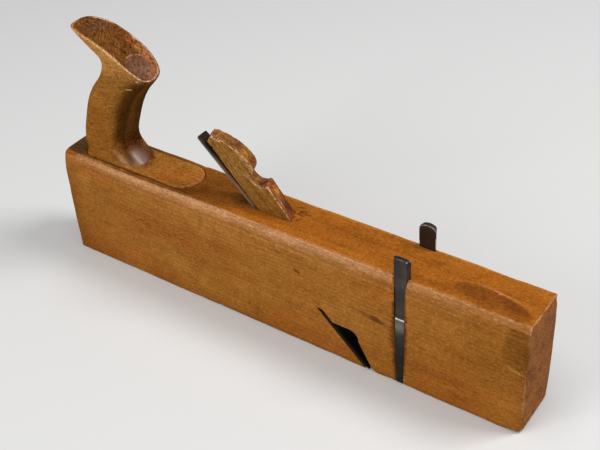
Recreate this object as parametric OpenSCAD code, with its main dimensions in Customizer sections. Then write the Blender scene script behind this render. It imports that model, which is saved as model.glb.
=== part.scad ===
// Skew rabbet plane of beech with an open tote, a wedged skew iron and two dovetailed nickers.
// Millimetres. Origin at the middle of the sole, +X towards the toe, +Z up. The user's right hand
// side is -Y. All pieces stand where they are in the planed position.

/* [Stock] */
// Length of the stock, heel to toe
stock_l = 381; // [340:1:420]
// Width of the stock, which is also the width of the rabbet it cuts
stock_w = 40; // [36:0.5:50]
// Height of the stock
stock_h = 92; // [84:1:100]
// How far down the sides the rounding of the long top edges reaches
ease_drop = 12; // [6:0.5:18]
// How far that rounding comes in on the top
ease_in = 2.2; // [1:0.1:3]
// Chamfer along the top of the heel and of the toe
end_chamfer = 1.5; // [0.5:0.1:3]

/* [Bed, mouth and escapement] */
// Pitch of the bed, seen from the side of the plane
bed_pitch = 45; // [42:0.5:50]
// Skew of the iron in plan, the right hand corner leading
skew = 22; // [12:1:28]
// Distance from the toe to the place where the bed meets the sole on the right side
bed_to_toe = 115.7; // [108:0.1:125]
// Slope of the wear, the wall in front of the mouth, seen from the side
wear_slope = 62.5; // [56:0.5:70]
// Gap of the mouth in front of the cutting edge, along the sole
mouth_gap = 1.6; // [0.8:0.1:3]
// Worn-away corner of the wear at the sole, along it and up it
mouth_wear = 2.2; // [0.5:0.1:3]
// Height of the throat's roof over the sole
throat_h = 30.2; // [26:0.2:34]
// Radius of the throat's front corner under the roof
throat_r = 7.2; // [5:0.1:8.5]
// Radius of the shavings escapement where it opens on the left side
flare_r = 19; // [15:0.5:20]
// How far the escapement's cone reaches into the stock
flare_depth = 27; // [20:0.5:30]
// Radius of the cone at its inner end
flare_inner_r = 7; // [5:0.5:9]
// How far the cone's axis lies in front of the iron's face on the left side
flare_lead = 13.5; // [11:0.5:16]
// Height of the cone's axis over the sole
flare_z = 27; // [24:0.5:31]

/* [Iron] */
// Thickness of the iron
iron_t = 3; // [2.5:0.1:4]
// Width of the tang
tang_w = 11.5; // [9:0.5:13]
// Height of the blade's shoulders over the sole
shoulder_h = 34; // [31:0.5:36]
// Room over the shoulders, in which the iron can be drawn back
shoulder_room = 4.5; // [3:0.1:6]
// Height of the tang's upper end over the top of the stock
tang_stand = 44; // [38:0.5:50]
// Grinding angle of the cutting edge
bevel_angle = 28; // [22:1:34]
// Height of the cutting edge over the sole while the plane stands idle
edge_rest = 0.3; // [0.1:0.1:1]
// Free play of the iron and of the wedge between bed and breast
bed_play = 0.06; // [0.03:0.01:0.15]
// How far each side of the blade stays inside the stock's side
blade_inset = 0.1; // [0:0.05:0.3]

/* [Wedge] */
// Width of the wedge
wedge_w = 11.5; // [9:0.5:13]
// Taper between the wedge's two long faces
wedge_taper = 7.5; // [6:0.25:9]
// Thickness of the wedge at the top of the stock, square to the bed
wedge_t = 19.7; // [17:0.1:23]
// Length of the wedge below the top of the stock
wedge_sunk = 86; // [76:1:90]
// Length of the tapered toe that turns the shavings
wedge_toe = 17; // [10:1:24]
// Thickness left at the end of that toe
wedge_toe_t = 2; // [1:0.5:4]
// Length of the wedge above the top of the stock
wedge_stand = 58; // [50:1:66]
// Height of the front peak under the notch
peak_stand = 8.5; // [6:0.5:12]
// Height of the notch's bottom, where the head begins
notch_stand = 20.6; // [18:0.2:23]
// Depth that the notch leaves between it and the back of the wedge
notch_t = 13.9; // [11:0.1:16]
// Radius of the hollow between notch and peak
hollow_r = 9; // [6:0.5:10]
// Thickness of the head at its fattest
head_t = 23.3; // [20:0.1:26]
// Height of that fattest place
head_mid = 27; // [26:0.5:32]
// Radius of the head's rounded front
head_r = 40; // [34:1:48]
// Relief behind the head, between it and the iron
head_relief = 3; // [1:0.1:4]
// Free play on each side of the wedge and of the tang in the mortise
mortise_play = 0.25; // [0.1:0.05:0.5]

/* [Nickers] */
// Distance from the toe to the middle of the nickers
nicker_to_toe = 89; // [80:0.5:92]
// Width of a nicker's outer face at the top of the stock
nicker_w = 8.2; // [6.5:0.1:10]
// Width of its outer face at the sole
nicker_tip_w = 4.8; // [3.5:0.1:6]
// How much each flank runs back under the dovetail
nicker_flank = 2; // [1.2:0.1:3]
// Thickness of the blade, its lower part
nicker_t = 4.6; // [3.5:0.1:6]
// How much thinner the shank is, above the blade
nicker_step = 0.8; // [0.3:0.1:1.2]
// Height of the step between blade and shank over the sole
nicker_step_z = 57; // [45:1:70]
// Height of the right nicker over the top of the stock
nicker_stand_right = 15; // [10:0.5:20]
// Height of the left nicker over the top of the stock
nicker_stand_left = 18.5; // [10:0.5:22]
// Grinding angle of a nicker's tip
nicker_bevel = 30; // [20:1:40]
// Height of its blade's edge over the sole while the plane stands idle
nicker_rest = 0.3; // [0.1:0.1:1]
// Rise of the struck top of the right nicker
crown_right = 1.2; // [0.5:0.1:3]
// Rise of the struck top of the left nicker
crown_left = 2.8; // [0.5:0.1:4]
// Free play round a nicker in its groove
nicker_play = 0.12; // [0.08:0.01:0.25]

/* [Tote] */
// Distance from the heel to the back of the tote
tote_from_heel = 17; // [12:1:30]
// Thickness of the tote
tote_w = 29; // [25:0.5:30]
// Height of the horn over the top of the stock
tote_h = 104; // [96:1:112]
// Length of the tote's flat base
base_l = 101.3; // [92:0.1:115]
// Depth of the recess that takes the base
base_sunk = 10; // [6:0.5:14]
// How much the base stands over the top of the stock
base_proud = 1; // [0.3:0.1:1.5]
// Radius of the base's two back corners
base_corner_r = 9; // [6:0.5:11]
// Gap round the base in its recess
base_play = 0.4; // [0.2:0.1:0.8]
// Length of the grip's foot on the base, with its front fillet
foot_l = 54; // [50:0.5:60]
// Length of the grip at its waist
waist_l = 39; // [34:0.5:44]
// Length of the dished top, horn to front lip
top_l = 67.4; // [64:0.1:76]
// How high the top is arched over the line from horn to lip
top_arch = 7.8; // [3:0.1:10]
// Rounding of the rim of the top
rim_r = 1; // [0.4:0.1:1.6]

/* [Hidden] */
// Larger than the plane in every direction
FAR = 900;
// Smallest overlap that lets a cutter pass a surface
PASS = 0.5;
right = -stock_w / 2;
left = stock_w / 2;

function unit(v) = v / norm(v);
// Distance along X that a plane moves when its right hand end stays and Y grows by dy
function lag(dy) = dy * tan(skew);

// The bed, the breast that the wedge bears on, and the wear, as a point on the right side and a normal
bed_x = stock_l / 2 - bed_to_toe;
bed_p = [bed_x, right, 0];
bed_n = unit([1, tan(skew), 1 / tan(bed_pitch)]);
iron_run = (iron_t + 2 * bed_play) / bed_n.x;
face_p = bed_p + [iron_run, 0, 0];
face_top_x = face_p.x - stock_h / tan(bed_pitch);
breast_pitch = bed_pitch + wedge_taper;
breast_n = unit([1, tan(skew), 1 / tan(breast_pitch)]);
breast_run = (wedge_t + bed_play) / sin(bed_pitch);
breast_p = [face_top_x + breast_run, right, stock_h];
// Along the bed towards the heel and up, in a plane parallel to the sides
up_bed = [-cos(bed_pitch), 0, sin(bed_pitch)];
wear_x = face_p.x + mouth_gap;

nicker_x = stock_l / 2 - nicker_to_toe;
nicker_lean = (nicker_w - nicker_tip_w) / 2 / stock_h;

tote_x = -stock_l / 2 + tote_from_heel;

// All space beyond the plane through p that is square to n
module beyond(p, n) {
    translate(p)
        rotate([0, acos(n.z / norm(n)), atan2(n.y, n.x)])
            translate([-FAR / 2, -FAR / 2, 0])
                cube(FAR);
}

// All space behind that plane
module behind(p, n) {
    beyond(p, -n);
}

// A bar along Y with the children as its side view, from y0 to y1
module bar(y0, y1) {
    translate([0, y1, 0])
        rotate([90, 0, 0])
            linear_extrude(y1 - y0)
                children();
}

// A bar that runs across the stock with the skew, its side view given on the plane y = from_y
module skew_bar(from_y) {
    translate([0, from_y, 0])
        rotate([0, 0, skew])
            bar(-FAR / 4, FAR / 4)
                children();
}

// A point of a side view on the plane y = from_y, as a point of the skewed bar's own outline
function skewed(p) = [p.x * cos(skew), p.y];

// The slab of space between y = -w/2 and y = w/2 from z0 to z1
module slab(w, z0, z1) {
    translate([-FAR / 2, -w / 2, z0])
        cube([FAR, w, z1 - z0]);
}

// Cutter for the rounding along the right hand top edge
module edge_cutter() {
    ease_r = (pow(ease_drop, 2) + pow(ease_in, 2)) / (2 * ease_in);
    difference() {
        translate([-FAR / 2, right - PASS, stock_h - ease_drop])
            cube([FAR, PASS + ease_in, ease_drop + PASS]);
        translate([-FAR / 2, right + ease_r, stock_h - ease_drop])
            rotate([0, 90, 0])
                cylinder(h = FAR, r = ease_r, $fn = 180);
    }
}

// The block with its eased long edges and chamfered ends
module block() {
    difference() {
        translate([-stock_l / 2, right, 0])
            cube([stock_l, stock_w, stock_h]);
        edge_cutter();
        mirror([0, 1, 0]) edge_cutter();
        for (end = [-1, 1])
            beyond([end * stock_l / 2, 0, stock_h - end_chamfer], [end, 0, 1]);
    }
}

// Space for the wedge and the tang, from the top down into the throat
module mortise() {
    intersection() {
        beyond(bed_p, bed_n);
        behind(breast_p, breast_n);
        slab(wedge_w + 2 * mortise_play, throat_h - throat_r, stock_h + PASS);
    }
}

// Slot across the whole stock for the wide blade
module blade_slot() {
    intersection() {
        beyond(bed_p, bed_n);
        behind(face_p, bed_n);
        slab(stock_w + 2 * PASS, -PASS, shoulder_h + shoulder_room);
    }
}

// Side view of the throat on the right side: roof, round front corner, wear and worn mouth
module throat_outline() {
    wear_run = 1 / tan(wear_slope);
    bow_x = wear_x - (throat_h - throat_r) * wear_run - throat_r;
    translate(skewed([bow_x, throat_h - throat_r]))
        circle(r = throat_r, $fn = 64);
    polygon([
        skewed([bed_x - throat_h, throat_h]),
        skewed([bed_x - throat_h, -PASS]),
        skewed([wear_x + mouth_wear, -PASS]),
        skewed([wear_x + mouth_wear, 0]),
        skewed([wear_x - mouth_wear * wear_run, mouth_wear]),
        skewed([wear_x - (throat_h - throat_r) * wear_run, throat_h - throat_r]),
        skewed([bow_x, throat_h]),
    ]);
}

// The throat, and the cone through which the shavings leave on the left side
module escapement() {
    cone_x = face_p.x - flare_z / tan(bed_pitch) - lag(stock_w) + flare_lead;
    intersection() {
        beyond(bed_p, bed_n);
        union() {
            skew_bar(right) throat_outline();
            translate([cone_x, left - flare_depth, flare_z])
                rotate([-90, 0, 0])
                    cylinder(
                        h = flare_depth + PASS,
                        r1 = flare_inner_r,
                        r2 = flare_r + PASS * (flare_r - flare_inner_r) / flare_depth,
                        $fn = 96
                    );
        }
    }
}

// A nicker's wedge-shaped dovetail key on the right side, grown by play, from z0 to z1
module nicker_key(z0, z1, thick, play) {
    flank_run = nicker_flank / nicker_t;
    sole_half = nicker_tip_w / 2 + play;
    difference() {
        translate([nicker_x - nicker_w * 2, right - PASS, z0])
            cube([nicker_w * 4, PASS + thick, z1 - z0]);
        for (side = [-1, 1])
            beyond([nicker_x + side * sole_half, right, 0], [side, -flank_run, -nicker_lean]);
    }
}

// Plan of the tote's base: square back with rounded corners, round nose, grown by play
module base_plan(play) {
    half = tote_w / 2 + play;
    corner = base_corner_r + play;
    nose_x = base_l - tote_w / 2;
    translate([nose_x, 0])
        circle(r = half, $fn = 96);
    translate([base_corner_r, -half])
        square([nose_x - base_corner_r, 2 * half]);
    translate([-play, -half + corner])
        square([corner, 2 * (half - corner)]);
    for (side = [-1, 1])
        translate([base_corner_r, side * (half - corner)])
            circle(r = corner, $fn = 64);
}

module stock() {
    color("peru") difference() {
        block();
        mortise();
        blade_slot();
        escapement();
        nicker_key(-PASS, stock_h + PASS, nicker_t + nicker_play, nicker_play);
        mirror([0, 1, 0])
            nicker_key(-PASS, stock_h + PASS, nicker_t + nicker_play, nicker_play);
        translate([tote_x, 0, stock_h - base_sunk])
            linear_extrude(base_sunk + PASS)
                base_plan(base_play);
    }
}

// Back line of the grip: distance from the tote's back, height over the stock's top
back_line = [
    [0.3, base_proud - 0.5], [0.1, 6], [0.3, 13], [2, 22], [5.5, tote_h - 71],
    [10.5, tote_h - 57], [17.5, tote_h - 45], [26, tote_h - 34.5], [31, tote_h - 24],
    [29.5, tote_h - 16], [17.2, tote_h - 9.2], [4.5, tote_h - 0.5],
];
// Front line of the grip, station by station opposite the back line
front_line = [
    [foot_l, base_proud - 0.5], [waist_l + 7.5, 7], [waist_l + 2.4, 13.5], [waist_l + 2, 21],
    [waist_l + 5.3, tote_h - 73], [waist_l + 9.6, tote_h - 62], [waist_l + 14.6, tote_h - 52],
    [waist_l + 20.2, tote_h - 43.5], [top_l - 2.4, tote_h - 37], [top_l + 1.1, tote_h - 33.1],
    [top_l + 3.4, tote_h - 30.4], [top_l + 4.5, tote_h - 29],
];
// Share of the top's arch that each station already has
arch_share = [0, 0, 0, 0, 0, 0, 0, 0.03, 0.15, 0.42, 0.75, 1];
// Rings from one station to the next, points round a ring, rings of the closed top
GRIP_STEPS = 3;
GRIP_SIDES = 40;
CAP_RINGS = 5;
// Squareness of the grip's sections, 2 for an ellipse
GRIP_SQUARE = 3.1;
// How far the grip's sides stay inside those of the base
GRIP_INSET = 0.1;

// Smooth value through the list at t, from 0 to len - 1
function through(list, t) =
    let (
        last = len(list) - 1,
        i = min(floor(t), last - 1),
        f = t - i,
        p0 = list[max(i - 1, 0)],
        p1 = list[i],
        p2 = list[i + 1],
        p3 = list[min(i + 2, last)]
    )
    p1 + f * (p2 - p0) / 2
        + f * f * (p0 - 2.5 * p1 + 2 * p2 - 0.5 * p3)
        + f * f * f * (1.5 * (p1 - p2) + 0.5 * (p3 - p0));

// The size of x raised to e, with the sign of x
function power(x, e) = sign(x) * pow(abs(x), e);

// Point of a section at angle a, drawn in to the share s, between back point b and front point f
function section_point(b, f, arch, half, s, a) =
    let (
        along = s * power(cos(a), 2 / GRIP_SQUARE),
        across = s * power(sin(a), 2 / GRIP_SQUARE),
        rise = unit([b.y - f.y, f.x - b.x]) * arch * (1 - along * along),
        p = (b + f) / 2 + (f - b) / 2 * along + rise
    )
    [p.x, half * across, p.y];

// One ring of the grip at station t, drawn in to the share s and lifted
function ring(t, half, s, lift) = [
    for (k = [0:GRIP_SIDES - 1])
        section_point(
            through(back_line, t), through(front_line, t), top_arch * through(arch_share, t),
            half, s, 360 * k / GRIP_SIDES
        ) + [0, 0, lift]
];

// The grip from its foot to the horn, one closed skin of rings
module grip() {
    last = len(back_line) - 1;
    half = tote_w / 2 - GRIP_INSET;
    rim = 1 - rim_r / half;
    rings = concat(
        [for (j = [0:last * GRIP_STEPS]) ring(j / GRIP_STEPS, half, 1, 0)],
        [for (j = [CAP_RINGS:-1:1]) ring(last, half, rim * j / CAP_RINGS, rim_r / 2)]
    );
    middle = ring(last, half, 0, rim_r / 2)[0];
    tip = len(rings) * GRIP_SIDES;
    foot_face = [[for (k = [0:GRIP_SIDES - 1]) k]];
    side_faces = [
        for (j = [0:len(rings) - 2], k = [0:GRIP_SIDES - 1])
            let (n = (k + 1) % GRIP_SIDES, a = j * GRIP_SIDES, b = a + GRIP_SIDES)
            each [[a + k, b + n, a + n], [a + k, b + k, b + n]]
    ];
    top_faces = [
        for (k = [0:GRIP_SIDES - 1])
            let (n = (k + 1) % GRIP_SIDES, a = tip - GRIP_SIDES)
            [a + k, tip, a + n]
    ];
    polyhedron(
        points = concat([for (r = rings) each r], [middle]),
        faces = concat(foot_face, side_faces, top_faces)
    );
}

module tote() {
    color("sienna") translate([tote_x, 0, stock_h]) {
        translate([0, 0, -base_sunk])
            linear_extrude(base_sunk + base_proud)
                base_plan(0);
        grip();
    }
}

module iron() {
    back_p = bed_p + [bed_play / bed_n.x, 0, 0];
    front_p = back_p + [iron_t / bed_n.x, 0, 0];
    edge_p = [front_p.x - edge_rest / tan(bed_pitch), right, edge_rest];
    top_z = stock_h + tang_stand;
    top_p = [face_p.x - top_z / tan(bed_pitch) - lag(stock_w / 2), 0, top_z];
    relief = bed_pitch - bevel_angle;
    color("dimgray") difference() {
        intersection() {
            beyond(back_p, bed_n);
            behind(front_p, bed_n);
            union() {
                slab(stock_w - 2 * blade_inset, -PASS, shoulder_h);
                slab(tang_w, 0, FAR / 3);
            }
        }
        behind(edge_p, [sin(relief), sin(relief) * tan(skew), cos(relief)]);
        beyond(top_p, up_bed);
    }
}

// A point of the wedge's side view: s up along the iron's face from the stock's top, d off the face
function on_wedge(p) =
    let (face_x = face_top_x - lag((stock_w - wedge_w) / 2))
    skewed([
        face_x - p.x * cos(bed_pitch) + p.y * sin(bed_pitch),
        stock_h + p.x * sin(bed_pitch) + p.y * cos(bed_pitch)
    ]);

// Points of an arc between two angles
function arc(centre, r, from, to, steps) = [
    for (i = [0:steps]) let (a = from + (to - from) * i / steps) centre + r * [cos(a), sin(a)]
];

// Blunt corners of the wedge, at the peak under the notch and at the struck end
PEAK_EASE = 1;
STRUCK_EASE = 0.5;

// Thickness of the wedge at the distance s above the stock's top, along its back
function wedge_front(s) = wedge_t + (s + wedge_t / tan(bed_pitch)) * tan(wedge_taper);

module wedge() {
    toe_top = wedge_toe - wedge_sunk;
    peak = peak_stand - PEAK_EASE;
    hollow_c = [peak_stand + hollow_r, notch_t + hollow_r];
    head_c = [head_mid, head_t - head_r];
    head_end = acos((wedge_stand - head_mid) / head_r);
    cheek_r = head_mid - notch_stand;
    outline = concat(
        [[-wedge_sunk, 0], [-wedge_sunk, wedge_toe_t], [toe_top, wedge_front(toe_top)]],
        [[peak, wedge_front(peak)]],
        arc(hollow_c, hollow_r, 185, 265, 8),
        [[notch_stand, notch_t]],
        arc([head_mid, head_t - cheek_r], cheek_r, 165, 100, 5),
        arc(head_c, head_r, 90, head_end, 10),
        [[wedge_stand - STRUCK_EASE, head_relief], [0, 0]]
    );
    color("tan") intersection() {
        slab(wedge_w, -FAR / 4, FAR / 4);
        skew_bar(-wedge_w / 2)
            polygon([for (p = outline) on_wedge(p)]);
    }
}

// A nicker for the right side, its top that far over the stock and domed by the crown
module nicker(stand, crown) {
    top = stock_h + stand;
    half = nicker_w / 2 + stand * nicker_lean + nicker_flank;
    crown_r = (half * half + crown * crown) / (2 * crown);
    color("dimgray") difference() {
        nicker_key(nicker_rest, top, nicker_t, 0);
        translate([nicker_x, 0, 0])
            rotate([90, 0, 90])
                linear_extrude(FAR / 4, center = true)
                    polygon([
                        [right - FAR, -PASS],
                        [right, -PASS],
                        [right, nicker_step_z],
                        [right + nicker_step, nicker_step_z + nicker_step],
                        [right + nicker_step, top + PASS],
                        [right - FAR, top + PASS],
                    ]);
        beyond([0, right, nicker_rest], [0, cos(nicker_bevel), -sin(nicker_bevel)]);
        difference() {
            translate([nicker_x - FAR / 8, right - PASS, top - crown])
                cube([FAR / 4, stock_w, stand]);
            translate([nicker_x, right, top - crown_r])
                rotate([-90, 0, 0])
                    cylinder(h = stock_w, r = crown_r, $fn = 120, center = true);
        }
    }
}

module nicker_right() {
    nicker(nicker_stand_right, crown_right);
}

module nicker_left() {
    mirror([0, 1, 0])
        nicker(nicker_stand_left, crown_left);
}

stock();
tote();
iron();
wedge();
nicker_right();
nicker_left();
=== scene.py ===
"""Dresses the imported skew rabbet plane: old beech, dark steel, a pale floor and soft light.

Lengths are metres unless a name ends in _mm. The plane's frame has its origin in the middle of the
sole, +X towards the toe, +Y to the far side and +Z up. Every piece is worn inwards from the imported
solid that it stands for, so it never leaves that solid's box.
"""
import logging
import math
from dataclasses import dataclass, field
from enum import Enum
from typing import Any, Sequence

import bmesh
import bpy
import numpy as np
from mathutils import Matrix, Vector, noise
from mathutils.bvhtree import BVHTree


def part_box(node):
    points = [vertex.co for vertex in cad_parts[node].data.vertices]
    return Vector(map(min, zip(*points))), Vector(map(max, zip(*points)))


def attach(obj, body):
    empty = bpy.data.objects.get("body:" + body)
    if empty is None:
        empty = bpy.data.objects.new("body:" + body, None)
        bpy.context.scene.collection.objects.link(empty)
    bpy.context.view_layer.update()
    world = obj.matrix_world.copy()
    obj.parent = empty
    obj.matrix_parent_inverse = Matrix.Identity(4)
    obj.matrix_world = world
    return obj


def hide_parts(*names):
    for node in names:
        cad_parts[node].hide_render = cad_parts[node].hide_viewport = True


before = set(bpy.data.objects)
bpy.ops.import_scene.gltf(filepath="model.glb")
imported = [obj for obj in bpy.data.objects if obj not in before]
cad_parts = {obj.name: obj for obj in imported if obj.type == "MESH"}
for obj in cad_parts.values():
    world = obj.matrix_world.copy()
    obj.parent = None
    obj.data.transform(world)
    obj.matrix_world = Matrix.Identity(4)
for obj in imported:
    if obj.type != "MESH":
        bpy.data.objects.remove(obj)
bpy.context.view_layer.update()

MM = 0.001
log = logging.getLogger("rabbet_plane")

Socket = bpy.types.NodeSocket
Colour = tuple[float, float, float]


class Spread(Enum):
    """How a mark fills its reach: as an ellipse, or squarer, as a split or a worn corner is."""

    ROUND = 2
    SQUARE = 4


@dataclass
class Tree:
    """A node tree under construction, with short ways to add the nodes that repeat."""

    tree: bpy.types.NodeTree

    def add(self, kind: str, **settings: Any) -> bpy.types.Node:
        """Adds a node.

        Args:
            kind: the node's type name.
            settings: properties to set on it.

        Returns:
            The new node.
        """
        node = self.tree.nodes.new(kind)
        for key, value in settings.items():
            setattr(node, key, value)
        return node

    def feed(self, target: Socket, value: Any) -> None:
        """Links a socket to the target, or sets a plain value on it.

        Args:
            target: the input that is fed.
            value: a socket, a number, a colour of three numbers or a vector.
        """
        if isinstance(value, bpy.types.NodeSocket):
            self.tree.links.new(value, target)
        elif target.type == "RGBA":
            target.default_value = (*value[:3], 1.0)
        else:
            target.default_value = value

    def math(self, operation: str, *values: Any) -> Socket:
        """Adds a Math node and returns its result."""
        node = self.add("ShaderNodeMath", operation=operation)
        for target, value in zip(node.inputs, values):
            self.feed(target, value)
        return node.outputs[0]

    def product(self, first: Any, *others: Any) -> Socket:
        """Returns the product of several numbers."""
        result = first
        for other in others:
            result = self.math("MULTIPLY", result, other)
        return result

    def vector(self, operation: str, *values: Any) -> Socket:
        """Adds a Vector Math node and returns its vector, or its number for a length or a dot product."""
        node = self.add("ShaderNodeVectorMath", operation=operation)
        for target, value in zip(node.inputs, values):
            self.feed(target, value)
        return node.outputs["Value" if operation in ("LENGTH", "DOT_PRODUCT") else "Vector"]

    def scaled(self, vector: Any, amount: Any) -> Socket:
        """Returns a vector times a number."""
        node = self.add("ShaderNodeVectorMath", operation="SCALE")
        self.feed(node.inputs[0], vector)
        self.feed(node.inputs["Scale"], amount)
        return node.outputs[0]

    def split(self, vector: Socket) -> tuple[Socket, Socket, Socket]:
        """Returns the X, Y and Z of a vector."""
        node = self.add("ShaderNodeSeparateXYZ")
        self.feed(node.inputs[0], vector)
        return node.outputs[0], node.outputs[1], node.outputs[2]

    def join(self, x: Any, y: Any, z: Any) -> Socket:
        """Returns the vector with these X, Y and Z."""
        node = self.add("ShaderNodeCombineXYZ")
        for target, value in zip(node.inputs, (x, y, z)):
            self.feed(target, value)
        return node.outputs[0]

    def noise(self, place: Any, waves: Any, detail: float = 2.0, rough: float = 0.5) -> Socket:
        """Returns soft noise between 0 and 1.

        Args:
            place: the vector that it is read at.
            waves: waves per metre, one number or one for each axis.
            detail: how many finer layers it has.
            rough: how strong the finer layers are.

        Returns:
            The noise.
        """
        if isinstance(waves, tuple):
            place, waves = self.vector("MULTIPLY", place, waves), 1.0
        node = self.add("ShaderNodeTexNoise")
        self.feed(node.inputs["Vector"], place)
        self.feed(node.inputs["Scale"], waves)
        node.inputs["Detail"].default_value = detail
        node.inputs["Roughness"].default_value = rough
        return node.outputs[0]

    def ramp(self, value: Any, low: Any, high: Any, to_low: Any = 0.0, to_high: Any = 1.0) -> Socket:
        """Returns a soft step of the value, from to_low at low to to_high at high."""
        node = self.add("ShaderNodeMapRange", interpolation_type="SMOOTHSTEP")
        for name, number in zip(("Value", "From Min", "From Max", "To Min", "To Max"),
                                (value, low, high, to_low, to_high)):
            self.feed(node.inputs[name], number)
        return node.outputs[0]

    def mix(self, share: Any, first: Any, second: Any) -> Socket:
        """Returns the first colour changed towards the second by the share."""
        node = self.add("ShaderNodeMix", data_type="RGBA")
        colours = [socket for socket in node.inputs if socket.type == "RGBA"]
        self.feed(node.inputs["Factor"], share)
        self.feed(colours[0], first)
        self.feed(colours[1], second)
        return next(socket for socket in node.outputs if socket.type == "RGBA")

    def group(self, name: str, **values: Any) -> bpy.types.Node:
        """Places a node group and feeds its inputs, named as keywords with _ for a space."""
        node = self.add("ShaderNodeGroup", node_tree=bpy.data.node_groups[name])
        for key, value in values.items():
            self.feed(node.inputs[key.replace("_", " ")], value)
        return node


@dataclass(frozen=True)
class Plug:
    """One named input of a node group."""

    name: str
    kind: str = "Float"
    value: Any = None


def start_group(name: str, kind: str, inputs: Sequence[Plug], outputs: Sequence[Plug]) -> tuple[Tree, Any, Any]:
    """Starts a node group.

    Args:
        name: the group's name.
        kind: the type of its node tree.
        inputs: its inputs.
        outputs: its outputs.

    Returns:
        The tree, the sockets that bring the inputs and the sockets that take the outputs.
    """
    group = bpy.data.node_groups.new(name, kind)
    for way, plugs in (("INPUT", inputs), ("OUTPUT", outputs)):
        for plug in plugs:
            socket = group.interface.new_socket(plug.name, in_out=way, socket_type=f"NodeSocket{plug.kind}")
            if plug.value is not None:
                socket.default_value = plug.value
    tree = Tree(group)
    return tree, tree.add("NodeGroupInput").outputs, tree.add("NodeGroupOutput").inputs


def beech_grain_group() -> None:
    """Builds the group for beech: rings round a pith along X, fibres, streaks, ray flecks and tool marks.

    Its tint is the shade that the grain gives the wood's colour, deeper in red than in blue.
    """
    tree, given, result = start_group(
        "beech grain", "ShaderNodeTree",
        [Plug("Place", "Vector"), Plug("Pith", "Vector"), Plug("Ring Gap", value=3 * MM),
         Plug("Waviness", value=4 * MM), Plug("Fleck Share", value=0.4), Plug("Contrast", value=1.0),
         Plug("Lines", value=0.2), Plug("Tool Marks", value=0.0)],
        [Plug("Tint", "Vector"), Plug("Relief")],
    )
    bend = tree.add("ShaderNodeTexNoise")
    tree.feed(bend.inputs["Vector"], tree.vector("MULTIPLY", given["Place"], (5.0, 22.0, 22.0)))
    bend.inputs["Scale"].default_value = 1.0
    swing = tree.vector("SUBTRACT", bend.outputs["Color"], (0.5, 0.5, 0.5))
    place = tree.vector("ADD", given["Place"], tree.scaled(swing, given["Waviness"]))
    from_pith = tree.vector("MULTIPLY", tree.vector("SUBTRACT", place, given["Pith"]), (0.0, 1.0, 1.0))
    turns = tree.math("DIVIDE", tree.vector("LENGTH", from_pith), given["Ring Gap"])
    uneven = tree.product(tree.noise(place, (2.0, 60.0, 60.0), 1.0), 1.5)
    rings = tree.math("POWER", tree.math("FRACT", tree.math("ADD", turns, uneven)), 2.5)
    fibres = tree.noise(place, (380.0, 850.0, 850.0), 3.0, 0.7)
    mottle = tree.noise(place, (50.0, 110.0, 110.0), 3.0, 0.55)
    streaks = tree.noise(place, (9.0, 75.0, 75.0), 3.0, 0.6)
    lines = tree.noise(place, (30.0, 700.0, 700.0), 2.0, 0.6)
    crossing = []
    for angle, share in ((38.0, 1.3), (-47.0, 0.6)):
        laid = tree.add("ShaderNodeMapping", vector_type="POINT")
        tree.feed(laid.inputs["Vector"], place)
        laid.inputs["Rotation"].default_value = (0.0, 0.0, math.radians(angle))
        strokes = tree.noise(laid.outputs[0], (210.0, 1100.0, 420.0), 2.0, 0.6)
        crossing.append(tree.math("MULTIPLY_ADD", strokes, share, -0.5 * share))
    rays = tree.add("ShaderNodeMapping", vector_type="POINT")
    tree.feed(rays.inputs["Vector"], place)
    rays.inputs["Rotation"].default_value = (0.0, math.radians(-32.0), 0.0)
    spindles = []
    for spot, waves in ((place, (420.0, 1000.0, 1000.0)), (rays.outputs[0], (380.0, 850.0, 850.0))):
        cells = tree.add("ShaderNodeTexVoronoi", feature="F1")
        tree.feed(cells.inputs["Vector"], tree.vector("MULTIPLY", spot, waves))
        cells.inputs["Scale"].default_value = 1.0
        spindle = tree.ramp(cells.outputs["Distance"], 0.12, 0.48, 1.0, 0.0)
        chosen = tree.math("LESS_THAN", tree.split(cells.outputs["Color"])[0], given["Fleck Share"])
        spindles.append(tree.product(spindle, chosen))
    dark, light = spindles
    total = tree.math("MULTIPLY_ADD", rings, -0.15, 0.05)
    for part, share in ((fibres, 1.35), (mottle, 0.5), (streaks, 0.45)):
        total = tree.math("ADD", total, tree.math("MULTIPLY_ADD", part, share, -0.5 * share))
    for part, share in ((dark, -0.2), (light, 0.4)):
        total = tree.math("MULTIPLY_ADD", part, share, total)
    total = tree.math("ADD", total, tree.product(tree.math("SUBTRACT", lines, 0.5), given["Lines"]))
    total = tree.product(total, tree.math("MULTIPLY_ADD", given["Tool Marks"], -0.2, 1.0))
    total = tree.math("ADD", total, tree.product(tree.math("ADD", *crossing), given["Tool Marks"]))
    shade = tree.math("MAXIMUM", tree.math("MULTIPLY_ADD", total, given["Contrast"], 1.0), 0.2)
    tree.feed(result["Tint"], tree.join(shade, tree.math("POWER", shade, 1.15), tree.math("POWER", shade, 1.5)))
    tree.feed(result["Relief"], tree.math("MULTIPLY_ADD", dark, -0.4, tree.product(fibres, 0.7)))


def handling_group() -> None:
    """Builds the group for handling: broad patches, blotches of dirt and fine specks."""
    tree, given, result = start_group(
        "handling", "ShaderNodeTree",
        [Plug("Place", "Vector"), Plug("Patch Size", value=60 * MM), Plug("Speck Size", value=1.2 * MM)],
        [Plug("Patches"), Plug("Blotches"), Plug("Specks")],
    )
    wide = tree.math("DIVIDE", 1.0, given["Patch Size"])
    tree.feed(result["Patches"], tree.noise(given["Place"], wide))
    tree.feed(result["Blotches"], tree.noise(given["Place"], tree.product(wide, 4.0), 4.0, 0.6))
    fine = tree.noise(given["Place"], tree.math("DIVIDE", 1.0, given["Speck Size"]))
    tree.feed(result["Specks"], tree.ramp(fine, 0.66, 0.76))


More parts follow.
